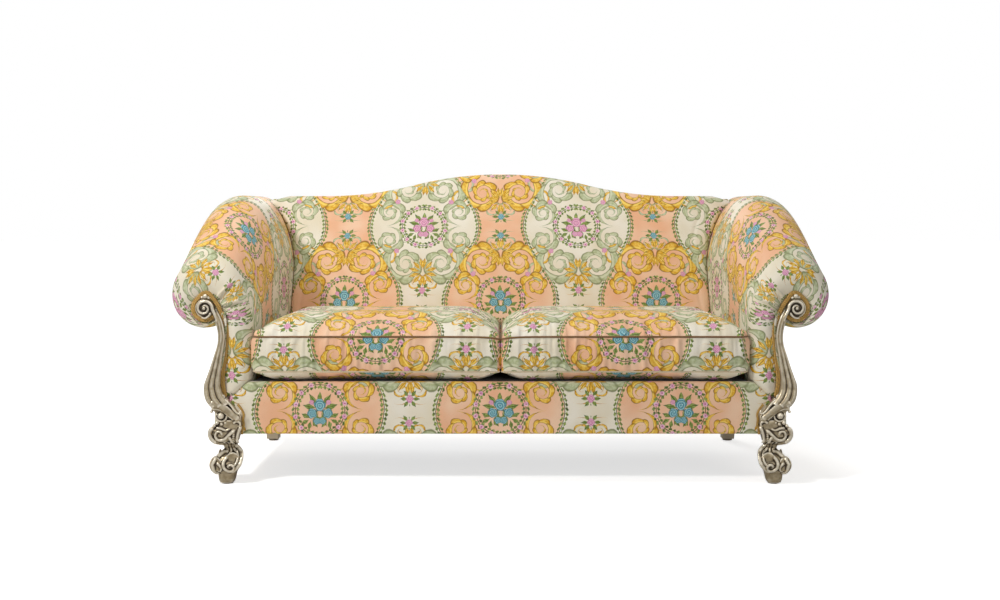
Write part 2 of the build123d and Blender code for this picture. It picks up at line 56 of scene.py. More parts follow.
# Shader arithmetic: each Val is one float socket of the tree being built
class Val:
    def __init__(self, socket):
        self.socket = socket

    def __add__(self, other):
        return maths("ADD", self, other)

    def __sub__(self, other):
        return maths("SUBTRACT", self, other)

    def __rsub__(self, other):
        return maths("SUBTRACT", other, self)

    def __mul__(self, other):
        return maths("MULTIPLY", self, other)

    def __truediv__(self, other):
        return maths("DIVIDE", self, other)


class Tree:
    """Node tree of a new material, or of the world, with short calls for the nodes used here."""

    def __init__(self, name, owner=None):
        global current
        current = self
        self.owner = owner or bpy.data.materials.new(name)
        self.owner.use_nodes = True
        self.nodes = self.owner.node_tree.nodes
        self.links = self.owner.node_tree.links

    def add(self, kind, **settings):
        node = self.nodes.new(kind)
        for key, value in settings.items():
            setattr(node, key, value)
        return node

    def feed(self, socket, value):
        """Links a socket or a Val to the socket, or sets a constant on it."""
        value = value.socket if isinstance(value, Val) else value
        if isinstance(value, bpy.types.NodeSocket):
            self.links.new(value, socket)
        else:
            socket.default_value = value

    def coat(self, shader="Principled BSDF", **values):
        """Feeds the shader's sockets, named with _ for a space, and returns the owner."""
        for name, value in values.items():
            self.feed(self.nodes[shader].inputs[name.replace("_", " ")], value)
        return self.owner

    def place(self):
        return self.add("ShaderNodeTexCoord").outputs["Object"]

    def axes(self, place):
        """The x, y and z of a place."""
        node = self.add("ShaderNodeSeparateXYZ")
        self.links.new(place, node.inputs[0])
        return [Val(socket) for socket in node.outputs]

    def noise(self, scale, detail=2.0, coords=None, rough=0.5):
        node = self.add("ShaderNodeTexNoise")
        node.inputs["Scale"].default_value = scale
        node.inputs["Detail"].default_value = detail
        node.inputs["Roughness"].default_value = rough
        if coords is not None:
            self.links.new(coords, node.inputs["Vector"])
        return Val(node.outputs["Fac"])

    def step(self, value, low, high):
        """0 below low, 1 above high, smooth between; low above high turns it round."""
        node = self.add("ShaderNodeMapRange", interpolation_type="SMOOTHSTEP")
        for name, fed in (("Value", value), ("From Min", low), ("From Max", high)):
            self.feed(node.inputs[name], fed)
        return Val(node.outputs["Result"])

    def mix(self, base, colour, share):
        node = self.add("ShaderNodeMix", data_type="RGBA")
        for socket, fed in ((node.inputs["Factor"], share), (node.inputs[6], base), (node.inputs[7], colour)):
            self.feed(socket, fed)
        return node.outputs[2]

    def bump(self, height, strength, distance, normal=None):
        node = self.add("ShaderNodeBump")
        node.inputs["Strength"].default_value = strength
        node.inputs["Distance"].default_value = distance
        self.feed(node.inputs["Height"], height)
        if normal is not None:
            self.links.new(normal, node.inputs["Normal"])
        return node.outputs["Normal"]


current = None


def maths(kind, *values):
    node = current.add("ShaderNodeMath", operation=kind)
    for socket, value in zip(node.inputs, values):
        current.feed(socket, value)
    return Val(node.outputs[0])


def rgb(red, green, blue):
    """Screen colour (0 to 255) as linear RGBA."""
    def linear(v):
        v /= 255
        return v / 12.92 if v <= 0.04045 else ((v + 0.055) / 1.055) ** 2.4
    return (linear(red), linear(green), linear(blue), 1.0)


def linked(name, data):
    """New object in the scene."""
    thing = bpy.data.objects.new(name, data)
    scene.collection.objects.link(thing)
    return thing


# Camera, light and floor
camera_data = bpy.data.cameras.new("Camera")
camera_data.sensor_width = 36
camera_data.lens = 42.08
camera_data.shift_x = -0.0005
camera_data.shift_y = -0.0897
camera = linked("Camera", camera_data)
camera.location = (0, -4.45, 0.94)
camera.rotation_euler = (radians(90), 0, 0)
scene.camera = camera
scene.view_settings.view_transform = "Standard"


def area_light(name, place, target, size, power, colour=(1, 1, 1)):
    data = bpy.data.lights.new(name, "AREA")
    data.shape = "RECTANGLE"
    data.size, data.size_y = size
    data.energy = power
    data.color = colour
    light = linked(name, data)
    light.location = place
    aim = Vector(target) - Vector(place)
    light.rotation_euler = aim.to_track_quat("-Z", "Y").to_euler()


area_light("key", (-2.6, -2.4, 3.0), (0.1, 0, 0.5), (0.5, 0.4), 76, (1.0, 0.98, 0.95))
area_light("fill", (2.6, -3.6, 1.2), (0.2, 0, 0.4), (1.6, 1.9), 12, (0.98, 0.99, 1.0))
area_light("top", (0, -0.5, 3.3), (0, -0.2, 0), (2.2, 0.8), 34)
area_light("rear", (-0.6, 3.4, 2.0), (0, 0.4, 0.6), (1.6, 1.2), 34)

# The world is white where it is seen, and a soft light elsewhere
SOFT_LIGHT = 0.18
scene.world = bpy.data.worlds.new("World")
sky = Tree("World", scene.world)
rays = sky.add("ShaderNodeLightPath").outputs
seen = Val(rays["Is Camera Ray"]) + Val(rays["Is Glossy Ray"]) + Val(rays["Is Transmission Ray"])
strength = maths("MINIMUM", seen, 1.0) * (1 - SOFT_LIGHT) + SOFT_LIGHT
sky.coat("Background", Color=(1, 1, 1, 1), Strength=strength)


def floor_material():
    """White paint that glows to the camera, a little less where the shadow falls."""
    t = Tree("floor_paint")
    speck = t.noise(3.0, 3.0)
    camera_ray = Val(t.add("ShaderNodeLightPath").outputs["Is Camera Ray"])
    far = t.add("ShaderNodeVectorMath", operation="LENGTH")
    t.links.new(t.add("ShaderNodeNewGeometry").outputs["Position"], far.inputs[0])
    glow = t.step(Val(far.outputs["Value"]), 1.0, 3.2) * 0.26 + 0.66
    return t.coat(
        Base_Color=t.mix(rgb(250, 250, 250), rgb(255, 255, 255), speck), Roughness=0.9,
        Emission_Color=(1, 1, 1, 1), Emission_Strength=camera_ray * glow,
    )


bpy.ops.mesh.primitive_plane_add(size=60, location=(0, 0, 0))
floor = bpy.context.object
floor.name = "floor"
floor.data.materials.append(floor_material())


# Mesh helpers
def read(items, key, wide=3, kind=float):
    """A property of all vertices, edges or face corners, in an array with a row for each."""
    values = np.empty(len(items) * wide, dtype=kind)
    items.foreach_get(key, values)
    return values.reshape(-1, wide)


def move(piece, places):
    piece.data.vertices.foreach_set("co", places.ravel())
    piece.data.update()


def evaluated(piece):
    return piece.evaluated_get(bpy.context.evaluated_depsgraph_get())


def lay_print(mesh, uv):
    """Gives a mesh its UV map, in metres on the cloth, from a pair for each vertex or face corner."""
    uv = np.asarray(uv, dtype=np.float32).reshape(-1, 2)
    if len(uv) == len(mesh.vertices):
        uv = uv[read(mesh.loops, "vertex_index", 1, np.int32).ravel()]
    mesh.uv_layers.new(name="UVMap").data.foreach_set("uv", uv.ravel())


def make_object(name, verts, faces, material, uv=None):
    """Smooth-shaded mesh object."""
    mesh = bpy.data.meshes.new(name)
    mesh.from_pydata([tuple(v) for v in verts], [], [tuple(f) for f in faces])
    mesh.update()
    if uv is not None:
        lay_print(mesh, uv)
    mesh.polygons.foreach_set("use_smooth", [True] * len(mesh.polygons))
    mesh.materials.append(material)
    return linked(name, mesh)


def tube_faces(rows, cols, joined=False, flip=False):
    """Quads of a grid that closes across its columns, with a face over each end or its ends joined."""
    faces = []
    for r in range(rows if joined else rows - 1):
        low, high = r * cols, (r + 1) % rows * cols
        for c in range(cols):
            d = (c + 1) % cols
            faces.append((low + c, low + d, high + d, high + c))
    if not joined:
        last = (rows - 1) * cols
        faces += [tuple(range(cols))[::-1], tuple(range(last, last + cols))]
    return [face[::-1] for face in faces] if flip else faces


def smooth(share):
    share = np.clip(share, 0, 1)
    return share * share * (3 - 2 * share)


def unit(rows):
    """Each row as a vector of length 1."""
    return rows / np.linalg.norm(rows, axis=1)[:, None]


def walked(line):
    """Distance of each point of a line from its first, along it."""
    return np.concatenate([[0], np.cumsum(np.linalg.norm(np.diff(line, axis=0), axis=1))])


def resample(line, count, length=None):
    """Points evenly spread along a line, whose points lie at the given lengths along it."""
    length = walked(line) if length is None else length
    want = np.linspace(0, length[-1], count)
    return np.stack([np.interp(want, length, line[:, k]) for k in range(line.shape[1])], -1)


def spline(points, count):
    """Points evenly spread along a smooth curve through the given ones."""
    pts = np.asarray(points, dtype=float)
    ends = np.vstack([2 * pts[0] - pts[1], pts, 2 * pts[-1] - pts[-2]])
    t = np.linspace(0, 1, 24, endpoint=False)[:, None]
    fine = []
    for p0, p1, p2, p3 in zip(ends, ends[1:], ends[2:], ends[3:]):
        fine.append(
            0.5 * (2 * p1 + (p2 - p0) * t + (2 * p0 - 5 * p1 + 4 * p2 - p3) * t**2
                   + (3 * p1 - p0 - 3 * p2 + p3) * t**3)
        )
    return resample(np.vstack(fine + [pts[-1:]]), count)


def tube(path, radii, sides=10, closed=False):
    """Vertices and faces of a round tube along a path."""
    path = np.asarray(path, dtype=float)
    count = len(path)
    radii = np.broadcast_to(np.asarray(radii, dtype=float), (count,))[:, None, None]
    ahead = np.roll(path, -1, axis=0) - np.roll(path, 1, axis=0) if closed else np.gradient(path, axis=0)
    ahead = unit(ahead)
    normal = np.zeros_like(path)
    seed = np.array([0, 0, 1.0]) if abs(ahead[0][2]) < 0.9 else np.array([1.0, 0, 0])
    for n in range(count):
        seed = seed - ahead[n] * seed.dot(ahead[n])
        seed /= np.linalg.norm(seed) + 1e-12
        normal[n] = seed
    side = np.cross(ahead, normal)
    turn = np.linspace(0, 2 * pi, sides, endpoint=False)[None, :, None]
    rings = path[:, None] + radii * (np.cos(turn) * normal[:, None] + np.sin(turn) * side[:, None])
    return rings.reshape(-1, 3), tube_faces(count, sides, joined=closed)


def finish_piece(piece, body, slot, *replaced):
    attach(piece, body)
    if replaced:
        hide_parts(*replaced)


# Sizes shared with the frame, in metres
RAIL_BOTTOM, DECK_TOP, ARM_FRONT, ARM_FOOT, ARM_OUTER = 0.171, 0.350, -0.440, 0.174, 1.006
ARM_INNER, ARM_SPLAY, CREST_LOW, CREST_RISE, CREST_RUN = 0.862, 0.026, 0.757, 0.241, 0.580
ROLL, ROLL_X, HIP, ROLL_JOIN, THROAT = 0.118, 1.012, 0.380, -56, radians(26)
VOLUTE = np.array([1.012, 0.601])
RAKE = radians(8)
SIDE_TOP, CAMEL_TOP, REAR, HUMP, PANEL = 0.986, 1.079, 0.475, 0.35, 0.008
BACK_LENGTH = (CAMEL_TOP - RAIL_BOTTOM) / cos(RAKE)
BACK_FOOT_Y = REAR - BACK_LENGTH * sin(RAKE)
PAD_FRONT, PAD_BREAK, PAD_TOP_Y = 0.162, 0.505, 0.338
LEAN = (PAD_TOP_Y - PAD_FRONT) / (SIDE_TOP - PAD_BREAK)
LOWER_SEAM, UPPER_SEAM = 0.386, 0.506
CUSHION_FRONT, CUSHION_BACK = -0.446, 0.150
CUSHION_X, CUSHION_Y = 0.425, (CUSHION_FRONT + CUSHION_BACK) / 2
CUSHION_INNER, ARM_GAP = 0.004, 0.006

# Padding of the arm's front: where its curve starts, how far it comes forward and in, and the dish in it
PUFF_START, PUFF_DEPTH, PUFF, DISH, DISH_EDGE, DISH_DEPTH = -0.394, 0.049, 0.045, 0.076, 0.015, 0.020
# Points of an arm's section on its inner side, its bend and its roll
STEM_POINTS, BEND_POINTS, ROLL_POINTS = 64, 80, 180
CREST_COLUMN = STEM_POINTS + BEND_POINTS + 38
# Where the print starts on the cloth of the arms, back, outside back and border
ARM_PRINT, BACK_PRINT, REAR_PRINT, BORDER_PRINT = (0.25, 0.16), 0.24, 0.60, 0.11


def arm_crest(y):
    along = np.clip((y - ARM_FRONT) / CREST_RUN, 0, 1)
    return CREST_LOW + CREST_RISE * np.sin(pi / 2 * along) ** 1.2


def arm_inner(y):
    return ARM_INNER - ARM_SPLAY * (y - ARM_FRONT) / (PAD_FRONT - ARM_FRONT)


def arm_profile(y, inset=0.0, sink=0.0):
    """(x, z) points round the right arm, from its inner foot over the roll to its outer foot."""
    radius = ROLL - inset
    back = np.clip((y - ARM_FRONT) / 0.75, 0, 1)
    lean = 0.009 * (1 - back) ** 2 - 0.008 * np.sin(pi * back)
    middle = np.array([ROLL_X + lean, arm_crest(y) - ROLL])
    middle = middle + sink * (VOLUTE - middle)
    inner, outer = arm_inner(y) + 1.2 * inset, ARM_OUTER - min(inset, PUFF)

    def on_roll(degrees):
        turn = np.radians(degrees)
        return np.stack([middle[0] + radius * np.sin(turn), middle[1] + radius * np.cos(turn)], -1)

    shoulder = on_roll(ROLL_JOIN)
    turn = radians(90 + ROLL_JOIN)
    top = shoulder[1] - (shoulder[0] - inner) / tan(turn / 2)
    bend = (shoulder[0] - inner) / (1 - cos(turn))
    tuck = min((ROLL * sin(THROAT) + 0.7 * inset) / radius, 0.93)
    end = 180 + np.degrees(np.arcsin(tuck))
    throat, hip = on_roll(end), np.array([outer, HIP])
    waist = np.array([(throat[0] + outer) / 2 - 0.014, (throat[1] + HIP) / 2])
    control = 2 * waist - (throat + hip) / 2
    rise = np.linspace(0, 1, STEM_POINTS, endpoint=False)[:, None]
    arc = np.linspace(0, turn, BEND_POINTS, endpoint=False)
    t = np.linspace(0, 1, 22, endpoint=False)[:, None]
    fall = np.linspace(0, 1, 14)[:, None]
    return np.vstack([
        np.array([inner, ARM_FOOT]) * (1 - rise) + np.array([inner, top]) * rise,
        np.stack([inner + bend * (1 - np.cos(arc)), top + bend * np.sin(arc)], -1),
        on_roll(np.linspace(ROLL_JOIN, end, ROLL_POINTS, endpoint=False)),
        (1 - t) ** 2 * throat + 2 * t * (1 - t) * control + t**2 * hip,
        hip * (1 - fall) + np.array([outer, ARM_FOOT]) * fall,
    ])


def rear_face(z):
    """Depth of the front of the outside-back panel at height z."""
    return BACK_FOOT_Y + (z - RAIL_BOTTOM) * tan(RAKE) - PANEL / cos(RAKE)


def arm_surface(y, z):
    """Distance of the right arm's inner surface from the middle, at depth y and height z."""
    points = arm_profile(y)
    points = points[:np.argmax(points[:, 1]) + 1]
    return np.interp(z, points[:, 1], points[:, 0])


def border_top(x):
    """Height at which the front border ends: the deck between the arms, lower under their fronts."""
    return DECK_TOP - 0.050 * smooth((np.abs(x) - 0.858) / 0.085)


def pleats(row):
    """Forward shift of points on the arm's front: ridges radiating from the volute, each with a hollow."""
    across, up = VOLUTE[0] - row[:, 0], row[:, 2] - VOLUTE[1]
    shift = np.zeros(len(row))
    for degrees, height in ((-14, 0.006), (15, 0.011), (46, 0.011)):
        angle = radians(degrees)
        along = across * cos(angle) + up * sin(angle)
        beside = up * cos(angle) - across * sin(angle)
        reach = smooth((along - 0.045) / 0.02) * smooth((0.140 - along) / 0.05)
        ridge = np.exp(-(beside / 0.0038) ** 2) - 0.80 * np.exp(-((beside + 0.0095) / 0.0055) ** 2)
        shift += height * reach * ridge
    return shift


def arm_front_rows():
    """Rows of points from the dish round the volute out to the edge of the puffed front."""
    rings = []
    for inset in np.linspace(DISH, PUFF, 13)[:-1]:
        dished = DISH_DEPTH * ((inset - PUFF) / (DISH - PUFF)) ** 1.4
        rings.append((PUFF_START - PUFF_DEPTH + dished, inset))
    for angle in np.radians(np.linspace(90, 0, 18)):
        rings.append((PUFF_START - PUFF_DEPTH * sin(angle), PUFF * (1 - cos(angle))))
    rows = []
    for y, inset in rings:
        points = arm_profile(y, inset, float(smooth((inset - DISH_EDGE) / (DISH - DISH_EDGE))))
        row = np.column_stack([points[:, 0], np.full(len(points), y), points[:, 1]])
        row[:, 1] -= pleats(row)
        below = smooth((border_top(row[:, 0]) + 0.014 - row[:, 2]) / 0.030)
        row[:, 1] += 0.024 * below * (row[:, 0] < 0.96)
        rows.append(row)
    return rows


def arm_side_rows():
    """Rows of points along the arm, back to the outside-back panel, which leans."""
    rows = []
    for share in np.linspace(0, 1, 66)[1:]:
        points = arm_profile(PUFF_START + share * 0.80)
        depth = PUFF_START + share * (rear_face(points[:, 1]) - 0.002 - PUFF_START)
        near = np.stack([arm_profile(y) for y in np.linspace(depth.min(), depth.max(), 5)])
        place = (depth - depth.min()) / max(depth.max() - depth.min(), 1e-9) * 4
        low = np.clip(place.astype(int), 0, 3)
        part = (place - low)[:, None]
        columns = np.arange(len(points))
        cut = near[low, columns] * (1 - part) + near[low + 1, columns] * part
        rows.append(np.column_stack([cut[:, 0], depth, cut[:, 1]]))
    return rows


def arm_mesh(side, material):
    """Padded arm: main sweep, puffed front, and a dished face round the volute."""
    rows = arm_front_rows()
    edge = len(rows) - 1
    grid = np.stack(rows + arm_side_rows())
    foot_tuck = smooth((0.375 - grid[..., 2]) / 0.09) * smooth((grid[..., 0] - 0.955) / 0.03)
    grid[..., 0] -= 0.016 * foot_tuck
    count, around = grid.shape[:2]
    along = walked(grid[:, CREST_COLUMN])
    along -= along[edge] + ARM_PRINT[0]
    around_arm = walked(arm_profile(0.0)) - ARM_PRINT[1]
    wrapped = np.stack(np.broadcast_arrays(along[:, None], around_arm[None, :]), -1)
    # The front face below the roll is laid flat, and eases into the wrap round the roll
    start = along[edge] + grid[edge, 0, 0]
    flat_on = np.stack([start - grid[..., 0], grid[..., 2] - ARM_FOOT - ARM_PRINT[1]], -1)
    column = np.arange(around)
    roll_end = STEM_POINTS + BEND_POINTS + ROLL_POINTS
    travel = np.cumsum(np.linalg.norm(np.diff(grid, axis=0, prepend=grid[:1]), axis=2), axis=0)
    outer = np.s_[:, roll_end:]
    flat_on[outer][..., 0] = start - grid[0, roll_end:, 0] - travel[outer]
    ease = smooth((column - STEM_POINTS) / BEND_POINTS) * (column < roll_end)
    front = flat_on * (1 - ease)[None, :, None] + wrapped * ease[None, :, None]
    verts = grid.reshape(-1, 3).copy()
    verts[:, 0] *= SIDE[side]
    faces = tube_faces(count, around)
    front, wrapped, under, rear = front.reshape(-1, 2), wrapped.reshape(-1, 2), verts[:, :2], verts[:, ::2]
    charts = []
    for n in range(len(faces) - 2):
        row, column = divmod(n, around)
        charts.append(under if column == around - 1 else front if row < edge else wrapped)
    uv = [chart[list(face)] for chart, face in zip(charts + [front, rear], faces)]
    if side == "left":
        faces, uv = [face[::-1] for face in faces], [pairs[::-1] for pairs in uv]
    return make_object(f"arm_cover_{side}", verts, faces, material, np.vstack(uv))


def rounded(points, radii, closed=False, step=0.004):
    """Dense points along a polyline whose corners are rounded to the given radii."""
    points = np.asarray(points, dtype=float)
    count = len(points)
    out = []
    for n, here in enumerate(points):
        if not closed and n in (0, count - 1):
            out.append(here[None])
            continue
        before, after = points[n - 1] - here, points[(n + 1) % count] - here
        before /= np.linalg.norm(before)
        after /= np.linalg.norm(after)
        half = np.arccos(np.clip(before.dot(after), -1, 1)) / 2
        cut = radii[n] / np.tan(half)
        middle = here + (before + after) / np.linalg.norm(before + after) * radii[n] / np.sin(half)
        start, stop = here + before * cut - middle, here + after * cut - middle
        share = np.linspace(0, 1, 15)[:, None]
        angle = pi - 2 * half
        arc = (np.sin((1 - share) * angle) * start + np.sin(share * angle) * stop) / np.sin(angle)
        out.append(middle + arc)
    line = np.vstack(out + ([out[0][:1]] if closed else []))
    length = walked(line)
    keep = np.concatenate([[True], np.diff(length) > 1e-9])
    line, length = line[keep], length[keep]
    return resample(line, max(int(length[-1] / step), 8), length)


def camel(x):
    """Distance up the raked plane of the back's top line at x."""
    top, side = BACK_LENGTH, (SIDE_TOP - RAIL_BOTTOM) / cos(RAKE)
    bump = (top - side) / 2
    radius = (HUMP**2 + bump**2) / (2 * bump)
    x = np.abs(x)
    hump = top - radius + np.sqrt(radius**2 - np.minimum(x, HUMP) ** 2)
    dip = side + radius - np.sqrt(radius**2 - np.clip(2 * HUMP - x, 0, HUMP) ** 2)
    return np.where(x < HUMP, hump, dip)


def back_profile(x, count):
    """(y, z) points of the padded back at x, from under the seat up the front and over the top."""
    up = camel(x)
    rear = np.array([
        BACK_FOOT_Y + up * sin(RAKE) - PANEL * cos(RAKE), RAIL_BOTTOM + up * cos(RAKE) + PANEL * sin(RAKE)
    ])
    reach = (rear[0] - PAD_FRONT - (rear[1] - PAD_BREAK) * LEAN) / (cos(RAKE) + LEAN * sin(RAKE))
    edge = rear + reach * np.array([-cos(RAKE), sin(RAKE)])
    line = rounded(
        [(PAD_FRONT + 0.004, 0.346), (PAD_FRONT, PAD_BREAK), edge, rear], [0, 0.10, 0.034, 0]
    )
    return resample(line, count)


def back_mesh(material):
    """Padded inside back, drawn in where it meets the arms, and the two lines where it does."""
    rows, crown, widest, overlap = 96, 0.013, 0.984, 0.004
    groove, groove_width, ease, ease_width = 0.030, 0.010, 0.008, 0.035
    fold, fold_width, fold_foot, fold_slant = 0.003, 0.006, 0.036, 0.064
    seat, rise, droop, droop_start, droop_run = 0.50, 0.48, 0.016, 0.855, 0.085
    spots = np.linspace(-1, 1, 221)
    spots = np.sign(spots) * (1 - (1 - np.abs(spots)) ** 1.35)
    ends = np.array([min(arm_surface(y, z), widest) for y, z in back_profile(0.90, rows)]) + overlap
    grid = np.empty((len(spots), rows, 3))
    uv = np.empty((len(spots), rows, 2))
    for n, spot in enumerate(spots):
        x = spot * ends
        if n in (0, len(spots) - 1):
            columns = np.stack([back_profile(v, rows)[m] for m, v in enumerate(x)])
        else:
            columns = back_profile(float(np.mean(x[-20:])), rows)
        face = np.clip((columns[:, 1] - seat) / rise, 0, 1)
        puff = crown * np.sin(pi * face) * (1 - np.abs(spot) ** 6)
        gap = ends - np.abs(x)
        tuck = groove * np.exp(-gap / groove_width) + ease * np.exp(-gap / ease_width)
        tuck += fold * np.exp(-(((gap - fold_foot - fold_slant * face) / fold_width) ** 2))
        tuck *= smooth((0.42 - columns[:, 0]) / 0.07)
        fall = droop * smooth((np.abs(x) - droop_start) / droop_run) * smooth((face - 0.85) / 0.15)
        grid[n, :, 0] = x
        grid[n, :, 1] = columns[:, 0] - puff * cos(atan(LEAN)) + tuck
        grid[n, :, 2] = columns[:, 1] + puff * sin(atan(LEAN)) - fall
        uv[n] = np.column_stack([x, walked(columns) - BACK_PRINT])
    faces = tube_faces(len(spots), rows)
    cover = make_object("back_cover", grid.reshape(-1, 3), faces, material, uv)
    # The lines for the dark cords of painted shade run from the seat up to where the back turns over
    shown = (grid[0, :, 2] > 0.44) & (grid[0, :, 1] < 0.40)
    return cover, {"left": grid[2, shown], "right": grid[-3, shown]}


# Seat cushions
def cushion_outline():
    """Plan of the right cushion at its seams, counter-clockwise from the front left corner."""
    left, draw, meet, corner, tight = CUSHION_INNER, 0.009, 0.001, 0.036, 0.012
    front_right, back_right = arm_inner(CUSHION_FRONT) - ARM_GAP, arm_inner(CUSHION_BACK) - ARM_GAP
    points = [
        (left, CUSHION_FRONT), ((left + front_right) / 2, CUSHION_FRONT + draw),
        (front_right, CUSHION_FRONT), ((front_right + back_right) / 2 - draw, CUSHION_Y),
        (back_right, CUSHION_BACK), ((left + back_right) / 2, CUSHION_BACK - draw),
        (left, CUSHION_BACK), (left + meet, CUSHION_Y),
    ]
    return rounded(points, [tight, 7.0, corner, 3.5, corner, 7.0, tight, 9.0], closed=True, step=0.002)


def cushion_sides(across, deep):
    """The outline cut at its four corners, as front, right, back and left point rows."""
    line = cushion_outline()[:-1]
    corners = []
    for sx, sy in ((-1, -1), (1, -1), (1, 1), (-1, 1)):
        corners.append(int(np.argmax((line[:, 0] - CUSHION_X) * sx * 0.7 + (line[:, 1] - CUSHION_Y) * sy)))
    sides = []
    for n, count in enumerate((across, deep, across, deep)):
        a, b = corners[n], corners[(n + 1) % 4]
        part = line[a:b + 1] if b > a else np.vstack([line[a:], line[:b + 1]])
        sides.append(resample(part, count))
    return sides


def upper_seam(x):
    """Height of a cushion's top seam, which dips where the two cushions meet."""
    return UPPER_SEAM - 0.008 * np.exp(-(np.abs(x) - CUSHION_INNER) / 0.030)


def cushion_mesh(side, material):
    """Crowned cover: top panel, boxing and underside sewn together at two seams."""
    across, deep, strips, crown, sag, bulge = 86, 62, 12, 0.050, 0.042, 0.004
    front, right, back, left = cushion_sides(across, deep)
    back, left = back[::-1], left[::-1]
    s = np.linspace(0, 1, across)[:, None, None]
    t = np.linspace(0, 1, deep)[None, :, None]
    plan = (
        (1 - t) * front[:, None] + t * back[:, None] + (1 - s) * left[None] + s * right[None]
        - (1 - s) * (1 - t) * front[0] - s * (1 - t) * front[-1] - (1 - s) * t * back[0] - s * t * back[-1]
    )

    def swell(wide, blunt):
        share = (1 - np.abs(2 * s - 1) ** wide) * (1 - np.abs(2 * t - 1) ** 3.8)
        return np.clip(share[..., 0], 0, 1) ** blunt

    top = np.dstack([plan, upper_seam(plan[..., 0]) + crown * swell(7.0, 0.52)])
    bottom = np.dstack([plan, np.maximum(LOWER_SEAM - sag * swell(3.2, 0.45), DECK_TOP + 0.0015)])
    ring = np.array(
        [(n, 0) for n in range(across - 1)] + [(across - 1, n) for n in range(deep - 1)]
        + [(n, deep - 1) for n in range(across - 1, 0, -1)] + [(0, n) for n in range(deep - 1, 0, -1)]
    )
    edge = plan[ring[:, 0], ring[:, 1]]
    ahead = np.roll(edge, -1, axis=0) - np.roll(edge, 1, axis=0)
    normal = unit(np.stack([ahead[:, 1], -ahead[:, 0]], -1))
    walls = []
    for n in range(1, strips):
        share = n / strips
        level = upper_seam(edge[:, 0]) * (1 - share) + LOWER_SEAM * share
        walls.append(np.column_stack([edge + normal * (bulge * sin(pi * share)), level]))
    verts = np.vstack([top.reshape(-1, 3), bottom.reshape(-1, 3)] + walls)
    panel, loop = across * deep, len(ring)
    seam = ring[:, 0] * deep + ring[:, 1]
    levels = [seam] + [2 * panel + loop * n + np.arange(loop) for n in range(strips - 1)] + [panel + seam]
    faces, uv = [], []
    place = plan.reshape(-1, 2) - np.array([CUSHION_X, CUSHION_FRONT])
    for a in range(across - 1):
        for b in range(deep - 1):
            quad = (a * deep + b, (a + 1) * deep + b, (a + 1) * deep + b + 1, a * deep + b + 1)
            faces += [quad, tuple(panel + q for q in quad[::-1])]
            uv += [place[q] for q in quad] + [place[q] * np.array([1, -1]) for q in quad[::-1]]
    walk = walked(np.vstack([edge, edge[:1]]))
    walk -= walk[across // 2]
    drop = (UPPER_SEAM - LOWER_SEAM) / strips
    for n in range(strips):
        for c in range(loop):
            d = (c + 1) % loop
            faces.append((levels[n][c], levels[n + 1][c], levels[n + 1][d], levels[n][d]))
            uv += [(walk[c], -n * drop), (walk[c], -(n + 1) * drop),
                   (walk[c + 1], -(n + 1) * drop), (walk[c + 1], -n * drop)]
    sign = SIDE[side]
    verts[:, 0] *= sign
    uv = np.array(uv).reshape(-1, 4, 2)
    if side == "left":
        faces, uv = [face[::-1] for face in faces], uv[:, ::-1] * np.array([-1, 1])
    piece = make_object(f"cushion_cover_{side}", verts, faces, material, uv)
    pins = piece.vertex_groups.new(name="seam")
    pins.add([int(v) for v in np.concatenate([levels[0], levels[-1]])], 1.0, "REPLACE")
    heights = (upper_seam(edge[:, 0]), np.full(loop, LOWER_SEAM))
    return piece, [np.column_stack([edge * np.array([sign, 1]), height]) for height in heights]


def inflate(piece, pressure, slack, limit, frames=16):
    """Fills a sewn cover by cloth simulation, its seams held, and keeps the result."""
    start = read(piece.data.vertices, "co")
    cloth = piece.modifiers.new("Cloth", "CLOTH")
    wanted = {
        "quality": 5, "mass": 0.25, "tension_stiffness": 18, "compression_stiffness": 18,
        "shear_stiffness": 8, "bending_stiffness": 0.35, "air_damping": 2, "vertex_group_mass": "seam",
        "use_pressure": True, "uniform_pressure_force": pressure, "shrink_min": -slack, "shrink_max": -slack,
    }
    for key, value in wanted.items():
        setattr(cloth.settings, key, value)
    cloth.settings.effector_weights.gravity = 0
    cloth.collision_settings.use_collision = False
    cloth.point_cache.frame_end = frames
    for n in range(1, frames + 1):
        scene.frame_set(n)
    shift = read(evaluated(piece).data.vertices, "co") - start
    piece.modifiers.remove(cloth)
    scene.frame_set(1)
    reach = np.linalg.norm(shift, axis=1)
    shift *= (np.minimum(reach, limit) / np.maximum(reach, 1e-9))[:, None]
    filled = start + shift
    filled[:, 2] = np.maximum(filled[:, 2], DECK_TOP + 0.001)
    move(piece, filled)


def refine(piece):
    """Replaces a piece's mesh by its smooth subdivision."""
    piece.modifiers.new("Subdivision", "SUBSURF").levels = 1
    mesh = bpy.data.meshes.new_from_object(evaluated(piece))
    piece.modifiers.clear()
    piece.data = mesh


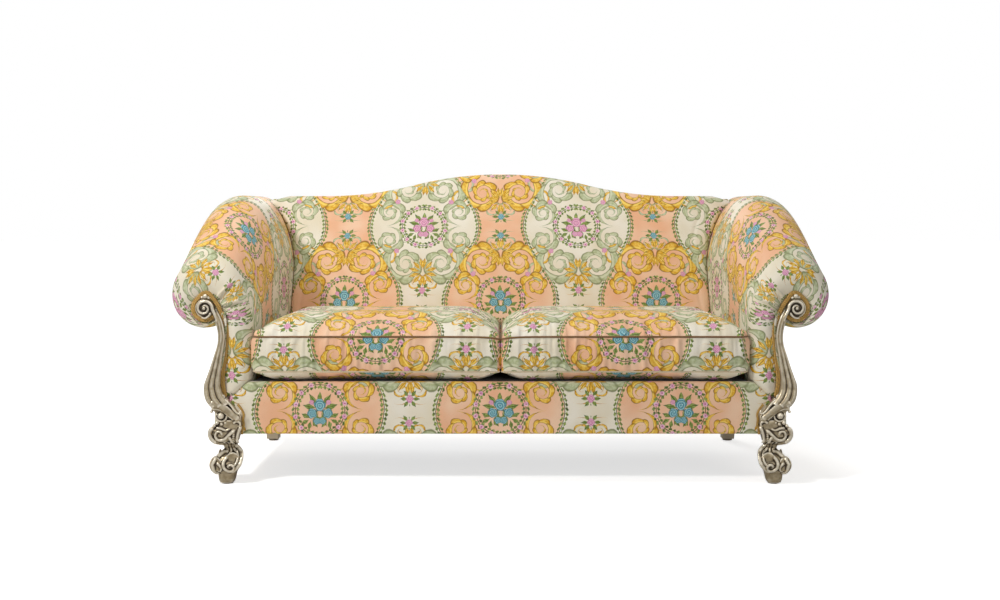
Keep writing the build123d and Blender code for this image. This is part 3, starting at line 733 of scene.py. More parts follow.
def pucker(piece):
    """Small pulls running from the seams of a cushion, as its filling strains them."""
    height, reach, seam_width, slack = 0.0160, 0.055, 0.013, 0.0045
    place, normal = read(piece.data.vertices, "co"), read(piece.data.vertices, "normal")
    right = arm_inner(place[:, 1]) - ARM_GAP
    ends = np.minimum(place[:, 1] - CUSHION_FRONT, CUSHION_BACK - place[:, 1])
    sides = np.minimum(np.abs(place[:, 0]) - CUSHION_INNER, right - np.abs(place[:, 0]))
    rim = np.maximum(np.minimum(ends, sides), 0)

    def ridges(walk):
        total = np.zeros(len(place))
        for pitch, shift, sharp in ((0.071, 0.0, 6), (0.043, 0.6, 5), (0.029, 1.9, 4)):
            phase = walk / pitch * 2 * pi + 1.5 * np.sin(walk * 21 + shift) + shift
            crest = ((1 + np.cos(phase)) / 2) ** sharp - 0.22
            total += pitch / 0.071 * crest * (0.6 + 0.4 * np.sin(walk * 9 + 5 * shift))
        return total

    facing = smooth(0.5 + (sides - ends) / 0.04)
    ripple = facing * ridges(place[:, 0] + 0.37) + (1 - facing) * ridges(place[:, 1])
    above = place[:, 2] - upper_seam(place[:, 0])
    drop = np.minimum(np.abs(above), np.abs(place[:, 2] - LOWER_SEAM))
    off = np.where(above > 0, np.hypot(rim, above), drop)
    strain = np.exp(-off / reach) * (1 - np.exp(-((off / seam_width) ** 2))) * height
    strain *= place[:, 2] > LOWER_SEAM
    place += normal * (ripple * strain)[:, None]
    place[:, 0] = np.sign(place[:, 0]) * np.clip(np.abs(place[:, 0]), 0.0012, right + slack)
    move(piece, place)


# Printed cotton: half-drop ogee panels with scrolls, wreaths and bouquets
def print_material():
    t = Tree("printed_cotton")
    source = t.add("ShaderNodeUVMap", uv_map="UVMap").outputs["UV"]

    def drift(place, scale, reach):
        """Place moved by a soft noise, so that nothing is ruler straight."""
        cloud = t.add("ShaderNodeTexNoise", noise_dimensions="2D")
        cloud.inputs["Scale"].default_value = scale
        cloud.inputs["Detail"].default_value = 2
        t.links.new(place, cloud.inputs["Vector"])
        shift = t.add("ShaderNodeVectorMath", operation="MULTIPLY_ADD")
        t.links.new(cloud.outputs["Color"], shift.inputs[0])
        shift.inputs[1].default_value = (reach, reach, 0)
        t.links.new(place, shift.inputs[2])
        return shift.outputs[0]

    mean_drift = 0.0098
    across, up, _ = t.axes(drift(drift(source, 5, 0.016), 70, 0.0035))
    across, up = across - mean_drift, up - mean_drift

    # Panel edges, and each panel's own half-width x and height y
    wide, tall = 0.31, 0.62
    x0 = maths("PINGPONG", across, wide)
    lap = up / tall
    y0 = (maths("FRACT", lap + 0.5) - 0.5) * tall
    bound = maths("COSINE", y0 * (2 * pi / tall)) * 0.066 + wide / 2
    panel = maths("LESS_THAN", x0, bound)
    gap = maths("ABSOLUTE", x0 - bound)
    x = panel * x0 + (1 - panel) * (wide - x0)
    y = panel * y0 + (1 - panel) * ((maths("FRACT", lap) - 0.5) * tall)
    level = maths("ABSOLUTE", y)

    grain = t.noise(260, 3, source)
    brush = t.step(t.noise(95, 3, source, 0.6), 0.36, 0.64)
    tone = t.step(t.noise(7, 2, source), 0.3, 0.7)

    def tint(peach_panel, cream_panel):
        return [t.mix(b, a, panel) for a, b in zip(peach_panel, cream_panel)]

    gold = (rgb(146, 92, 20), rgb(226, 170, 36), rgb(253, 222, 112))
    green = (rgb(58, 80, 38), rgb(108, 136, 58), rgb(160, 182, 96))
    sage = (rgb(124, 134, 88), rgb(178, 188, 142), rgb(216, 220, 188))
    blue = (rgb(38, 98, 118), rgb(96, 166, 182), rgb(176, 220, 224))
    pink = (rgb(186, 96, 146), rgb(226, 152, 190), rgb(248, 208, 224))
    scroll_ink = tint(gold, sage)
    second_ink = tint(sage, gold)
    bloom_ink = tint(blue, pink)

    peach = t.mix(rgb(243, 186, 146), rgb(250, 212, 180), tone)
    cream = t.mix(rgb(236, 226, 200), rgb(246, 240, 224), tone)
    ink = t.mix(cream, peach, panel)

    def away(cx, cy, height):
        """Distance and turn (in whole turns) from a point of the panel."""
        dx = x - cx
        dy = height - cy
        far = maths("SQRT", dx * dx + dy * dy)
        return far, maths("ARCTAN2", dy, dx) * (1 / (2 * pi))

    def acanthus(ink, cx, cy, reach, start, last, colours, width, lobes, hand=1, tight=2.3):
        """Leafy spiral: lobed outer edge, veins between lobes, light ridge, dark outline."""
        far, turn = away(cx, cy, level)
        swing = turn * hand + start
        coil = maths("LOGARITHM", far * (1 / reach) + 0.0001, tight) + swing
        lap = maths("FLOOR", coil)
        cross = coil - lap - 0.5
        along = swing - lap
        lobe = maths("ABSOLUTE", maths("SINE", along * (pi * lobes) + cross * 1.6))
        thick = t.step(along, 0.30, 0.75) * t.step(along, last, last - 0.7) * width
        edge = maths("GREATER_THAN", cross, 0.0) * (lobe * 0.62 - 0.08) + 0.58
        limit = edge * thick + 0.0001
        side = maths("ABSOLUTE", cross)
        inside = t.step(side, limit, limit * 0.86)
        rim = t.step(side, limit * 0.9, limit * 0.62)
        ridge = t.step(maths("ABSOLUTE", cross + 0.06), thick * 0.30, thick * 0.08)
        body = t.mix(colours[1], colours[2], maths("MAXIMUM", ridge, lobe * brush * 0.8))
        body = t.mix(colours[0], body, t.step(lobe, 0.05, 0.45) * 0.7 + 0.3)
        return t.mix(ink, t.mix(colours[0], body, rim), inside)

    def leaves(ink, cx, cy, reach, count, slim, colours, height, start=0.0):
        """Star of pointed, veined leaves round a point."""
        far, turn = away(cx, cy, height)
        wedge = maths("ABSOLUTE", maths("FRACT", turn * count + start) - 0.5)
        blade = maths("SINE", t.step(far, reach * 0.1, reach) * pi) * slim + 0.0001
        inside = t.step(wedge, blade, blade * 0.82)
        vein = t.step(wedge, 0.015, 0.06) * t.step(wedge, blade * 0.95, blade * 0.6)
        return t.mix(ink, t.mix(colours[0], t.mix(colours[1], colours[2], brush), vein), inside)

    def rose(ink, cx, cy, size, colours, height):
        """Full bloom with petals curling round its heart."""
        far, turn = away(cx, cy, height)
        rim = maths("ABSOLUTE", maths("COSINE", turn * (2.5 * 2 * pi))) * (size * 0.22) + size * 0.80
        inside = t.step(far, rim, rim * 0.94)
        curl = maths("FRACT", far * (2.6 / size) + turn * 2 + grain * 0.5)
        body = t.mix(colours[0], colours[1], t.step(curl, 0.05, 0.4))
        body = t.mix(body, colours[2], t.step(curl, 0.45, 0.9))
        return t.mix(ink, t.mix(colours[0], body, t.step(far, rim * 0.98, rim * 0.82)), inside)

    def sprig(ink, off, along, pitch, reach, colours):
        """Row of small leaves on both sides of a line, off being the distance from it."""
        tilt = maths("ABSOLUTE", maths("FRACT", along * (1 / pitch) + off * (0.35 / reach)) - 0.5)
        leaf = maths("ABSOLUTE", off - reach * 0.55) * (1.9 / reach) + tilt * 1.7
        ink = t.mix(ink, t.mix(colours[0], colours[2], brush), t.step(leaf, 0.98, 0.72))
        return t.mix(ink, colours[0], t.step(off, reach * 0.12, reach * 0.06))

    # Fine tendrils, then the leafy line round each panel
    ink = acanthus(ink, 0.148, 0.128, 0.048, 0.45, 2.6, second_ink, 0.24, 5.0, hand=-1)
    ink = acanthus(ink, 0.030, 0.238, 0.044, 0.15, 2.6, second_ink, 0.26, 5.0)
    ink = sprig(ink, gap, up, 0.0165, 0.0135, green)
    # Leafy scrolls above and below the wreath
    ink = acanthus(ink, 0.072, 0.160, 0.080, 0.62, 2.7, scroll_ink, 0.45, 6.0)
    ink = acanthus(ink, 0.140, 0.062, 0.052, 0.10, 2.5, scroll_ink, 0.45, 5.0, hand=-1)
    ink = leaves(ink, 0.0, 0.196, 0.062, 11, 0.42, gold, level)
    # Wreath
    ring, turn = away(0.0, 0.0, y)
    ink = sprig(ink, maths("ABSOLUTE", ring - 0.086), turn, 1 / 34, 0.0145, green)
    dot = (maths("FRACT", turn * 13) - 0.5) * (2 * pi * 0.088 / 13)
    bloom = maths("SQRT", dot * dot + (ring - 0.088) * (ring - 0.088))
    ink = t.mix(ink, t.mix(pink[1], pink[2], brush), t.step(bloom, 0.0088, 0.0072))
    ink = t.mix(ink, pink[0], t.step(bloom, 0.0032, 0.0018))
    # Bouquet
    ink = leaves(ink, 0.0, 0.004, 0.066, 9, 0.36, green, y, 0.2)
    ink = leaves(ink, 0.030, -0.028, 0.040, 7, 0.36, green, y)
    ink = rose(ink, 0.0, 0.018, 0.022, bloom_ink, y)
    ink = rose(ink, 0.027, -0.010, 0.018, bloom_ink, y)
    ink = rose(ink, 0.010, -0.036, 0.013, bloom_ink, y)
    ink = rose(ink, 0.030, 0.026, 0.0095, pink, y)
    # Posies at the tips of the panels
    ink = leaves(ink, 0.0, 0.268, 0.036, 7, 0.36, green, level, 0.5)
    ink = rose(ink, 0.0, 0.268, 0.014, bloom_ink, level)
    ink = rose(ink, 0.108, 0.108, 0.011, pink, level)

    ink = t.mix(ink, rgb(150, 104, 62), grain * 0.10)
    warp, weft, _ = t.axes(source)
    thread = 2 * pi / 0.0011
    weave = maths("SINE", warp * thread) + maths("SINE", weft * thread)
    fine = t.bump(weave, 0.10, 0.0003)
    return t.coat(
        Base_Color=ink, Roughness=grain * 0.16 + 0.54, Specular_IOR_Level=0.2, Sheen_Weight=0.12,
        Sheen_Roughness=0.5, Normal=t.bump(t.noise(16, 3, source), 0.22, 0.006, fine),
    )


def woven_material(name, dark, light, scale, rough):
    """Plain cloth, cord or tape: two-tone threads with a fine relief."""
    t = Tree(name)
    place = t.place()
    wave = t.add("ShaderNodeTexWave", wave_type="BANDS", bands_direction="DIAGONAL")
    wave.inputs["Scale"].default_value = scale
    wave.inputs["Distortion"].default_value = 1.2
    wave.inputs["Detail"].default_value = 1.0
    t.links.new(place, wave.inputs["Vector"])
    thread = Val(wave.outputs["Fac"])
    colour = t.mix(dark, light, thread * 0.6 + t.noise(scale * 3, 2, place) * 0.4)
    return t.coat(Base_Color=colour, Roughness=rough, Sheen_Weight=0.2, Normal=t.bump(thread, 0.5, 0.0006))


def silver_material():
    """Antique silver leaf over carved wood, brown where the carving is deep, with a painted highlight on the
    raised ridges.
    """
    t = Tree("silver_leaf")
    place = t.place()
    depth = Val(t.add("ShaderNodeAttribute", attribute_name="cavity").outputs["Fac"])
    cloud = t.noise(45, 4, place, 0.6)
    fine = t.noise(420, 3, place)
    leaf = t.mix(rgb(138, 122, 92), rgb(180, 166, 138), t.step(cloud, 0.3, 0.7))
    leaf = t.mix(leaf, rgb(148, 118, 72), t.step(cloud, 0.52, 0.70) * 0.45)
    worn = t.step(depth + (cloud - 0.5) * 0.6 + (fine - 0.5) * 0.3, 0.02, 0.62)
    colour = t.mix(leaf, rgb(48, 34, 19), worn * 0.96)
    # Painted highlight: the raised ridges are lightened towards pale silver
    colour = t.mix(colour, rgb(232, 224, 206), t.step(depth, -0.2, -0.8) * 0.7)
    return t.coat(
        Base_Color=colour, Metallic=0.5 - worn * 0.4, Roughness=worn * 0.35 + fine * 0.14 + 0.24,
        Normal=t.bump(fine * 0.4 + cloud, 0.25, 0.0012),
    )


def wood_material():
    """Beech with its bands and pores drawn out along the length of the sofa."""
    t = Tree("frame_beech")
    stretch = t.add("ShaderNodeMapping")
    stretch.inputs["Scale"].default_value = (1.0, 9.0, 9.0)
    t.links.new(t.place(), stretch.inputs["Vector"])
    band = t.noise(6, 5, stretch.outputs[0], 0.65)
    pore = t.noise(160, 2, stretch.outputs[0])
    colour = t.mix(rgb(196, 152, 104), rgb(222, 186, 140), band)
    return t.coat(
        Base_Color=t.mix(colour, rgb(150, 108, 70), t.step(pore, 0.58, 0.7) * 0.5),
        Roughness=pore * 0.2 + 0.5, Normal=t.bump(pore + band, 0.2, 0.0008),
    )


def metal_material(name, dark, light, rough):
    """Plated metal, clouded and finely scratched."""
    t = Tree(name)
    place = t.place()
    cloud = t.noise(90, 4, place)
    return t.coat(
        Base_Color=t.mix(dark, light, cloud), Metallic=0.9, Roughness=cloud * 0.2 + rough,
        Normal=t.bump(t.noise(900, 2, place), 0.08, 0.0003),
    )


def matt_material(name, dark, light, scale, rough, relief):
    """Foam, paint or moulded plastic: fine mottling and pitting."""
    t = Tree(name)
    pit = t.noise(scale, 4, t.place())
    return t.coat(
        Base_Color=t.mix(dark, light, pit), Roughness=pit * 0.15 + rough, Normal=t.bump(pit, 0.4, relief)
    )


def zip_material(middle):
    """Cotton tape with a row of brass teeth at the height of its middle line."""
    t = Tree("zip_tape_cloth")
    place = t.place()
    along, _, up = t.axes(place)
    chain = t.step(maths("ABSOLUTE", up - middle), 0.0034, 0.0028)
    tooth = chain * t.step(maths("PINGPONG", along, 0.0015), 0.0003, 0.0007)
    weave = t.noise(900, 2, place)
    colour = t.mix(rgb(176, 150, 112), rgb(206, 182, 146), weave)
    colour = t.mix(colour, rgb(74, 54, 26), chain)
    return t.coat(
        Base_Color=t.mix(colour, rgb(206, 168, 92), tooth), Metallic=tooth * 0.85,
        Roughness=0.75 - tooth * 0.4, Normal=t.bump(tooth + weave * 0.2, 0.5, 0.0012),
    )


cotton = print_material()
silver = silver_material()
piping_cloth = woven_material("piping_cloth", rgb(84, 56, 26), rgb(150, 108, 54), 520, 0.6)
pale_piping = woven_material("pale_piping", rgb(196, 172, 132), rgb(238, 226, 200), 520, 0.6)
braid_cloth = woven_material("gold_braid", rgb(112, 68, 20), rgb(244, 200, 104), 130, 0.42)
black_cloth = woven_material("platform_black", rgb(14, 13, 13), rgb(34, 32, 32), 420, 0.85)
foam = matt_material("seat_foam", rgb(226, 214, 168), rgb(240, 232, 198), 260, 0.85, 0.002)
leg_paint = matt_material("rear_leg_paint", rgb(192, 176, 150), rgb(216, 200, 174), 55, 0.42, 0.0008)
zip_low, zip_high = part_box("zip_tape_right")

# CAD nodes that keep their shape take their slot's material, and the rear legs a pale paint
finish_of = {
    "frame_wood": wood_material(),
    "steel": metal_material("zinc_steel", rgb(130, 130, 132), rgb(176, 176, 178), 0.3),
    "webbing": woven_material("jute_webbing", rgb(140, 116, 78), rgb(188, 164, 120), 380, 0.85),
    "zip_tape": zip_material((zip_low[2] + zip_high[2]) / 2),
    "zip_metal": metal_material("zip_brass", rgb(150, 112, 50), rgb(206, 168, 92), 0.25),
    "nylon": matt_material("glide_nylon", rgb(118, 106, 86), rgb(146, 134, 110), 300, 0.5, 0.0004),
    "printed_cotton": cotton, "platform_cloth": black_cloth, "silvered_wood": silver,
    "gold_braid": braid_cloth, "piping_cord": piping_cloth, "foam": foam,
}
slot_of = {entry["node"]: entry["material_slot"] for entry in frame["record"]["subparts"]}
for name, node in nodes.items():
    node.data.materials.clear()
    node.data.materials.append(leg_paint if name.startswith("rear_leg") else finish_of[slot_of[name]])


def softened(name, node, material, radius, flat_uv=None):
    """Copy of a CAD node's mesh with rounded edges, for a tight cover or a foam block."""
    mesh = nodes[node].data.copy()
    mesh.name = name
    work = bmesh.new()
    work.from_mesh(mesh)
    bmesh.ops.remove_doubles(work, verts=work.verts, dist=0.00005)
    bmesh.ops.dissolve_limit(work, angle_limit=radians(2), verts=work.verts, edges=work.edges)
    work.to_mesh(mesh)
    work.free()
    mesh.materials.clear()
    mesh.materials.append(material)
    if flat_uv is not None:
        while mesh.uv_layers:
            mesh.uv_layers.remove(mesh.uv_layers[0])
        lay_print(mesh, flat_uv(read(mesh.vertices, "co")))
    mesh.polygons.foreach_set("use_smooth", [True] * len(mesh.polygons))
    piece = linked(name, mesh)
    bevel = piece.modifiers.new("Bevel", "BEVEL")
    bevel.width = radius
    bevel.segments = 3
    bevel.limit_method = "ANGLE"
    bevel.angle_limit = radians(50)
    piece.modifiers.new("Weighted", "WEIGHTED_NORMAL")
    return piece


# Arms and back, with a dark cord of painted shade in the groove where they meet
SHADE_CORD, SHADE_CORD_LIFT = 0.0036, 0.006
for side in PAIR:
    arm = arm_mesh(side, cotton)
    finish_piece(arm, "frame", "printed_cotton", f"arm_pad_{side}")
back, joins = back_mesh(cotton)
finish_piece(back, "frame", "printed_cotton", "back_pad")
# Painted shade: a thin dark cord along each join stands in for the shadow in the groove between back and arm
for side in PAIR:
    verts, faces = tube(joins[side] - np.array([0, SHADE_CORD_LIFT, 0]), SHADE_CORD)
    finish_piece(make_object(f"back_shade_cord_{side}", verts, faces, piping_cloth), "frame", "piping_cord")
rear_cover = softened(
    "rear_cover", "outside_back", cotton, 0.003, lambda p: np.stack([p[:, 0], p[:, 2] - REAR_PRINT], -1)
)
finish_piece(rear_cover, "frame", "printed_cotton", "outside_back")


# Front border, deck and dust cover
def border_mesh(material):
    """Padded strip on the front rail, from the deck's edge down and under the rail."""
    foot, front, back, reach, even = RAIL_BOTTOM, -0.433, -0.4145, 0.930, 0.80
    end = np.linspace(even, reach, 40)
    spots = np.concatenate([-end[::-1], np.linspace(-even, even, 200)[1:-1], end])
    rows = 60
    grid = np.empty((len(spots), rows, 3))
    uv = np.empty((len(spots), rows, 2))
    for n, x in enumerate(spots):
        top = border_top(x)
        corners = [(back, top), (front, top), (front, foot), (back, foot)]
        profile = resample(rounded(corners, [0, 0.013, 0.006, 0], step=0.001), rows)
        level = np.clip((profile[:, 1] - foot) / (top - foot), 0, 1)
        pull = 0.0020 * np.sin(x * 61) * np.sin(x * 17 + 1)
        swell = 0.006 * np.sin(pi * level) + pull * np.sin(pi * level) ** 0.5 * level
        depth = profile[:, 0] - swell * (profile[:, 0] < front + 0.003)
        grid[n] = np.column_stack([np.full(rows, x), depth, profile[:, 1]])
        uv[n] = np.column_stack([np.full(rows, x), BORDER_PRINT + top - DECK_TOP - walked(profile)])
    faces = tube_faces(len(spots), rows, flip=True)
    return make_object("border_cover", grid.reshape(-1, 3), faces, material, uv)


border = border_mesh(cotton)
finish_piece(border, "frame", "printed_cotton", "front_border")
deck = softened("deck_cloth", "seat_deck", black_cloth, 0.008)
finish_piece(deck, "frame", "platform_cloth", "seat_deck")
dust = softened("dust_cloth", "dust_cover", black_cloth, 0.0004)
finish_piece(dust, "frame", "platform_cloth", "dust_cover")


# Cushions, with piping at both seams and a zip at the rear
def zip_placket(piece, side):
    """Draws the rear of a cover in round its zip, down to the bed that the tape lies on."""
    low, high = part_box(f"zip_tape_{side}")
    middle, half = (low + high) / 2, (high - low) / 2
    end, margin, slope, bed = 0.012, 0.017, 0.009, 0.0008
    place = read(piece.data.vertices, "co")
    along = half[0] + end - np.abs(place[:, 0] - middle[0])
    beside = half[2] + margin - np.abs(place[:, 2] - middle[2])
    share = smooth(along / end) * smooth(beside / slope) * (place[:, 1] > low[1] - 0.012)
    place[:, 1] += share * np.minimum(low[1] - bed - place[:, 1], 0)
    move(piece, place)


for side in PAIR:
    body = f"cushion_{side}"
    cover, (top_seam, bottom_seam) = cushion_mesh(side, cotton)
    inflate(cover, pressure=2.2, slack=0.018, limit=0.022)
    refine(cover)
    pucker(cover)
    zip_placket(cover, side)
    finish_piece(cover, body, "printed_cotton", f"seat_cushion_{side}")
    pipings = (("top", top_seam, 0.0034, piping_cloth), ("bottom", bottom_seam, 0.0028, pale_piping))
    for label, seam, radius, cloth in pipings:
        cord = make_object(f"piping_{label}_cord_{side}", *tube(seam, radius, closed=True), cloth)
        finish_piece(cord, body, "piping_cord", f"piping_{label}_{side}")
    core = softened(f"foam_block_{side}", f"cushion_core_{side}", foam, 0.012)
    finish_piece(core, body, "foam", f"cushion_core_{side}")


# Carved show-wood, drawn as (outward, up) in millimetres from the front leg's axis
MM = 0.001
LEG_X, LEG_Y, LEG_FOOT = 0.941, -0.414, 0.004
GRAIN, HOLLOW, EASINGS = 0.0016, 0.0012, 14
VOLUTE_MIDDLE = np.array([74, 604])
LEG_STATIONS = [
    # height, half width, shift inwards of the S-shaped leg
    (LEG_FOOT, 0.023, -0.001), (0.014, 0.027, -0.001), (0.038, 0.031, 0.0), (0.052, 0.038, 0.001),
    (0.072, 0.043, 0.002), (0.094, 0.038, 0.008), (0.110, 0.024, 0.013), (0.124, 0.018, 0.013),
    (0.136, 0.020, 0.010), (0.150, 0.033, 0.004), (0.166, 0.041, 0.001), (RAIL_BOTTOM, 0.041, 0.001),
]
# Height and depth of the ground of the knee and stem
FACE_LINE = [(0.147, -0.455), (RAIL_BOTTOM, -0.458), (0.275, -0.460), (0.330, -0.452), (0.660, -0.447)]


def face_depth(z):
    """Depth of the ground that the carving rises from, on the leg below and the knee and stem above."""
    low = [(h, LEG_Y + inward - half) for h, half, inward in LEG_STATIONS if h < FACE_LINE[0][0]]
    line = np.array(low + FACE_LINE)
    return np.interp(z, line[:, 0], line[:, 1])


def turned(verts):
    """The same relief on the outer side of the leg."""
    across, depth = verts[:, 0] - LEG_X, verts[:, 1] - LEG_Y
    return np.column_stack([LEG_X - depth, LEG_Y - across, verts[:, 2]])


def stroke(points, thick, thin, lift=0.2, rise=1.0, sides=14):
    """Carved oval strand that tapers from thick to thin, rise times as high as wide."""
    flat = spline(np.array(points, dtype=float) * MM, 8 * len(points))
    share = np.linspace(0, 1, len(flat))
    wide = (thick + (thin - thick) * share) * MM * np.clip(np.minimum(share, 1 - share) * 9 + 0.35, 0, 1)
    depth = face_depth(flat[:, 1]) - lift * wide * rise
    ahead = unit(np.gradient(flat, axis=0))
    turn = np.linspace(0, 2 * pi, sides, endpoint=False)
    reach = wide[:, None] * np.cos(turn)
    verts = np.stack([
        LEG_X + flat[:, :1] - ahead[:, 1:] * reach,
        depth[:, None] + (wide * rise)[:, None] * np.sin(turn),
        flat[:, 1:] + ahead[:, :1] * reach,
    ], -1)
    return [(verts.reshape(-1, 3), tube_faces(len(flat), sides))]


def dome(place, wide, tall, rise, lift=0.2, slices=11, sides=20):
    """Swelling of the given half sizes in millimetres, standing out of the face by lift."""
    across, up = np.array(place) * MM
    turn = np.linspace(0, 2 * pi, sides, endpoint=False)
    level = np.cos(np.linspace(0.1, pi - 0.1, slices))
    size = np.sqrt(1 - level**2)[:, None] * MM
    depth = face_depth(up) + (level - lift) * rise * MM
    verts = np.stack([
        LEG_X + across + wide * size * np.cos(turn), np.repeat(depth[:, None], sides, axis=1),
        up + tall * size * np.sin(turn),
    ], -1)
    return [(verts.reshape(-1, 3), tube_faces(slices, sides))]


def beads(*items):
    """Round domes, each given as outward, up, radius and lift."""
    return [shape for x, z, radius, lift in items for shape in dome((x, z), radius, radius, radius, lift)]


def plate(outline, back, front):
    """Flat slab behind the relief, its outline in millimetres."""
    rim = np.array(outline, dtype=float) * MM
    count = len(rim)
    x, z = LEG_X + rim[:, 0], rim[:, 1]
    verts = np.vstack([
        np.column_stack([x, np.full(count, back), z]), np.column_stack([x, face_depth(z) + front, z])
    ])
    return [(verts, tube_faces(2, count, flip=True))]


def leg_core(sides=40, square=3.6):
    """S-shaped square leg with rounded corners, up to the rail."""
    turn = np.linspace(0, 2 * pi, sides, endpoint=False)
    section = np.stack([np.cos(turn), np.sin(turn)], -1)
    section /= (np.abs(section) ** square).sum(axis=1)[:, None] ** (1 / square)
    line = np.array(LEG_STATIONS)
    heights = np.linspace(LEG_FOOT, RAIL_BOTTOM, 60)
    half = np.interp(heights, line[:, 0], line[:, 1])[:, None]
    inward = np.interp(heights, line[:, 0], line[:, 2])[:, None]
    rings = np.empty((len(heights), sides, 3))
    rings[..., 0] = LEG_X - inward + half * section[:, 0]
    rings[..., 1] = LEG_Y + inward + half * section[:, 1]
    rings[..., 2] = heights[:, None]
    return [(rings.reshape(-1, 3), tube_faces(len(heights), sides))]


def carved(name, shapes):
    """Fuses overlapping closed shapes into one skin, and measures how deep each point lies in a hollow."""
    verts, faces, start = [], [], 0
    for points, polygons in shapes:
        verts.append(points)
        faces += [tuple(start + n for n in face) for face in polygons]
        start += len(points)
    rough = make_object(name + "_shapes", np.vstack(verts), faces, silver)
    skin = rough.modifiers.new("Skin", "REMESH")
    skin.mode = "VOXEL"
    skin.voxel_size = GRAIN
    ease = rough.modifiers.new("Ease", "SMOOTH")
    ease.factor, ease.iterations = 0.5, 3
    mesh = bpy.data.meshes.new_from_object(evaluated(rough))
    place, normal = read(mesh.vertices, "co"), read(mesh.vertices, "normal")
    edges = read(mesh.edges, "vertices", 2, np.int64)
    polygons = [tuple(p.vertices) for p in mesh.polygons]
    bpy.data.objects.remove(rough)
    bpy.data.meshes.remove(mesh)
    count = len(place)
    degree = np.bincount(edges.ravel(), minlength=count)[:, None]
    eased = place.copy()
    for _ in range(EASINGS):
        total = np.zeros_like(eased)
        for axis in range(3):
            for here, there in (edges.T, edges.T[::-1]):
                total[:, axis] += np.bincount(here, eased[there, axis], count)
        eased = total / degree
    hollow = ((eased - place) * normal).sum(axis=1) / HOLLOW
    return place, polygons, hollow


def carved_pair(name, node, shapes):
    """Carved piece on each side, with the depth of its hollows in the attribute "cavity"."""
    place, polygons, hollow = carved(name, shapes)
    for side in PAIR:
        verts = place * np.array([SIDE[side], 1, 1])
        faces = polygons if side == "right" else [face[::-1] for face in polygons]
        piece = make_object(f"{name}_{side}", verts, faces, silver)
        piece.data.attributes.new("cavity", "FLOAT", "POINT").data.foreach_set("value", hollow)
        finish_piece(piece, "frame", "silvered_wood", f"{node}_{side}")


def around_volute(degrees, radius):
    """(outward, up) points at the given angles and radii round the volute's middle."""
    turn = np.radians(degrees)
    return np.stack([VOLUTE_MIDDLE[0] + radius * np.cos(turn), VOLUTE_MIDDLE[1] + radius * np.sin(turn)], -1)


def stem_shapes():
    """Volute, reeded S-shaped stem and its bead."""
    outer = [
        (46, 592), (34, 558), (25, 514), (27, 478), (39.5, 438), (53, 396), (64.5, 363), (72, 340),
        (71, 312), (63, 290), (44, 270),
    ]
    inner = [
        (31, 604), (13, 562), (4, 514), (7, 478), (11.5, 444), (14.5, 413), (18, 383), (19.5, 353),
        (17, 328), (7, 303), (-14, 274),
    ]
    outer, inner = spline(outer, 70), spline(inner, 70)
    width = np.linalg.norm(outer - inner, axis=1) * (0.35 + 0.65 * smooth(np.linspace(0, 8, 70)))
    radii = 0.205 * width * MM
    shapes = []
    for share in (0.17, 0.50, 0.83):
        x, z = ((outer * (1 - share) + inner * share) * MM).T
        arch = 0.0045 * sin(pi * share)
        path = np.column_stack([LEG_X + x, face_depth(z) - arch + 0.30 * radii, z])
        shapes.append(tube(path, radii, 12))
    share = np.linspace(0, 1, 17)
    coil = around_volute(188 - 520 * share, 30 - 22 * share**0.85)
    shapes += stroke(np.vstack([[(24, 548), (34, 578)], coil]), 6.2, 3.4, 0.4)
    shapes += stroke([(50, 590), (58, 578), (70, 571), (84, 572)], 4.2, 2.6, 0.3)
    shapes += beads((*VOLUTE_MIDDLE, 5.5, 0.5), (70, 646, 8.0, 0.4), (81, 642, 4.5, 0.3), (58, 640, 4.5, 0.3))
    rim = np.vstack([outer[::5], inner[::-5]])
    return shapes + plate(around_volute(np.arange(0, 360, 12), 32), -0.418, 0.003) + plate(rim, -0.410, 0.001)


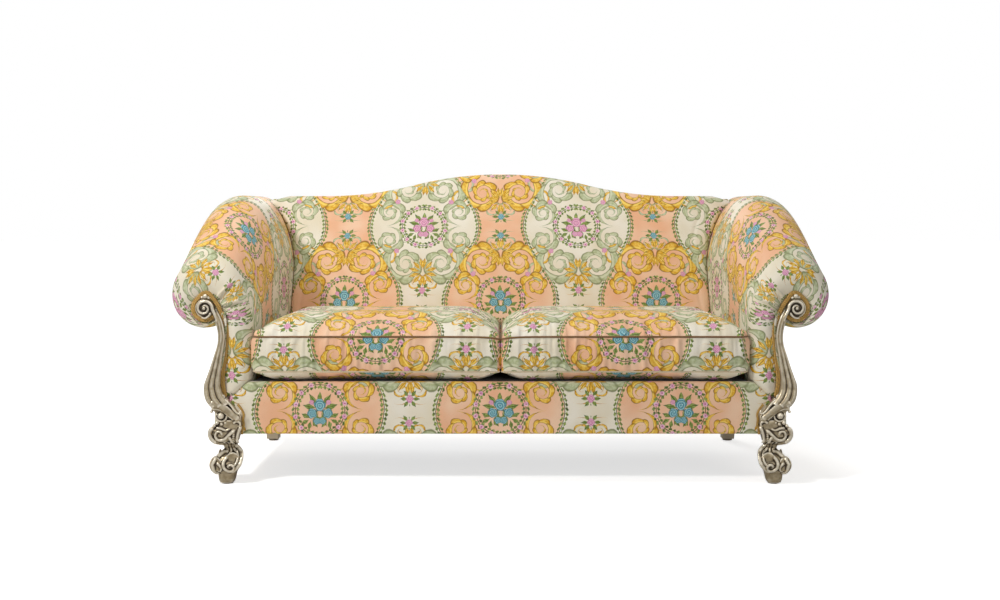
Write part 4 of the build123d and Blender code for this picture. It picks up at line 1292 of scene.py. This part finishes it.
def knee_shapes():
    """Scrolled knee in front of the rail: a broad ribbon from the stem, a ball, and a lobed scroll below."""
    outline = [
        (40, 292), (-4, 297), (-24, 275), (-40, 250), (-54, 236), (-54, 204), (-46, 186), (-44, 152),
        (-20, 146), (22, 146), (38, 156), (50, 176), (50, 192), (36, 206), (26, 226), (36, 250), (50, 268),
    ]
    shapes = plate(outline, -0.428, 0.003)
    shapes += dome((-14, 206), 34, 18, 4, 0.3) + dome((6, 180), 40, 16, 3.5) + dome((-34, 178), 14, 24, 3)
    for points, *size in (
        ([(54, 290), (38, 278), (16, 274), (-8, 258), (-32, 238), (-50, 222)], 13, 10, 0.4, 0.62),
        ([(18, 308), (8, 296), (-8, 287), (-22, 273), (-34, 256), (-44, 247), (-54, 247), (-54, 255),
          (-47, 256)], 4.2, 3.0, 0.7),
        ([(16, 304), (7, 308), (2, 302), (6, 297)], 3.4, 2.6, 0.6),
        ([(47, 262), (28, 263), (8, 255), (-16, 237), (-34, 221)], 4.4, 3.4, 0.8),
        ([(27, 250), (31, 236), (23, 223), (8, 220), (-4, 228), (-7, 242)], 4.0, 3.0, 0.7),
        ([(-28, 212), (-40, 219), (-51, 215), (-52, 205), (-44, 202)], 4.6, 3.2, 0.7),
        ([(39, 201), (49, 188), (51, 171), (43, 155), (24, 143), (6, 136), (-6, 120)], 7.5, 6.5, 0.4, 0.8),
        ([(-36, 192), (-18, 176), (-2, 161), (11, 155), (25, 157), (32, 170), (27, 183), (16, 184), (10, 175),
          (16, 168)], 6.0, 3.8, 1.1, 0.85),
        ([(30, 197), (14, 196), (-4, 190), (-20, 196)], 4.8, 3.4, 1.0),
        ([(-56, 203), (-48, 186), (-43, 168), (-42, 153), (-46, 142)], 6.0, 4.2, 0.4),
        ([(-12, 168), (-22, 154), (-20, 138)], 5.0, 4.0, 0.9),
    ):
        shapes += stroke(points, *size)
    shapes += beads(
        (45, 253, 5.5, 0.4), (13, 239, 11.5, 0.35), (26, 215, 7.0, 0.5), (36, 205, 6.0, 0.4),
        (11, 210, 5.0, 0.7), (-2, 215, 4.0, 0.7),
    )
    return shapes + beads(*[(-31 + 0.7 * n, 184 - 7.4 * n, 3.8 - 0.15 * n, 1.2) for n in range(7)])


def foot_shapes():
    """Scrolls of the lower leg, on its front and outer sides."""
    shapes = dome((-24, 88), 24, 24, 4, 0.0) + dome((28, 72), 16, 24, 4, 0.0)
    for points, *size in (
        ([(-24, 134), (-40, 122), (-51, 108), (-54, 92), (-51, 74), (-42, 60), (-28, 49), (-14, 43)],
         6.5, 6.0, 0.3, 0.8),
        ([(-30, 116), (-40, 102), (-41, 86), (-35, 72), (-24, 63)], 4.4, 3.4, 1.0),
        ([(-14, 102), (-2, 92), (6, 78), (5, 62), (-4, 51), (-18, 47), (-29, 53), (-28, 65), (-17, 70),
          (-9, 63), (-14, 57)], 6.2, 3.8, 0.9, 0.85),
        ([(-8, 110), (8, 108), (20, 100), (36, 88), (46, 72)], 7.0, 5.0, 0.4, 0.85),
        ([(30, 96), (42, 88), (48, 74), (46, 58), (36, 44), (22, 38)], 6.5, 5.5, 0.2),
        ([(30, 78), (20, 70), (14, 58), (18, 48), (26, 50)], 4.6, 3.4, 1.0),
        ([(4, 144), (5, 128), (-3, 116), (4, 106)], 5.4, 4.0, 0.4),
        ([(-24, 146), (-20, 130), (-26, 116), (-36, 106)], 5.4, 4.0, 0.4),
        ([(-11, 148), (-10, 130), (-14, 112), (-8, 98)], 5.4, 3.4, 0.4),
    ):
        shapes += stroke(points, *size)
    shapes += beads((37, 90, 7.0, 0.5), (44, 72, 6.0, 0.4))
    return leg_core() + shapes + [(turned(verts), faces) for verts, faces in shapes]


carved_pair("carved_facing", "arm_facing", stem_shapes())
carved_pair("carved_leg", "front_leg", knee_shapes() + foot_shapes())


# Braided gimp beside the show-wood
def plait(line, depth, width, side, start):
    """Three plaited strands along an (outward, up) line at the given depth, numbered on from start."""
    ahead = unit(np.gradient(line, axis=0))
    beside = np.stack([-ahead[:, 1], ahead[:, 0]], -1)
    verts, faces = [], []
    for n in range(3):
        turn = 2 * pi * (walked(line) / (4.2 * width) + n / 3)
        flat = (line + beside * (width * np.sin(turn))[:, None]) * MM
        level = depth - 0.0016 * np.sin(2 * turn)
        path = np.column_stack([(LEG_X + flat[:, 0]) * SIDE[side], level, flat[:, 1]])
        points, polygons = tube(path, 0.70 * width * MM, 7)
        faces += [tuple(start + len(points) * n + v for v in face) for face in polygons]
        verts.append(points)
    return np.vstack(verts), faces


def gimp_mesh(side):
    """Gimp up the stem and round the volute, and beside the knee where the border ends."""
    stem = [
        (4, 301), (11, 328), (13.5, 353), (12, 383), (8.5, 413), (5.5, 444), (1, 478), (-2, 514), (1, 540),
        (8, 562), (18, 588), (28, 610),
    ]
    turn = np.arange(140, -141, -20)
    ring = around_volute(turn, 41 + 13 * np.exp(-((turn - 95) / 24) ** 2))
    stem = spline(np.vstack([stem, ring]), 560)
    knee = spline([(-40, 274), (-52, 258), (-60, 240), (-58, 222), (-60, 204), (-56, 188), (-54, 172)], 110)
    verts, faces = plait(stem, -0.4345, 4.8, side, 0)
    more, polygons = plait(knee, -0.4400, 2.6, side, len(verts))
    return make_object(f"gimp_braid_{side}", np.vstack([verts, more]), faces + polygons, braid_cloth)


for side in PAIR:
    finish_piece(gimp_mesh(side), "frame", "gold_braid", f"gimp_trim_{side}")
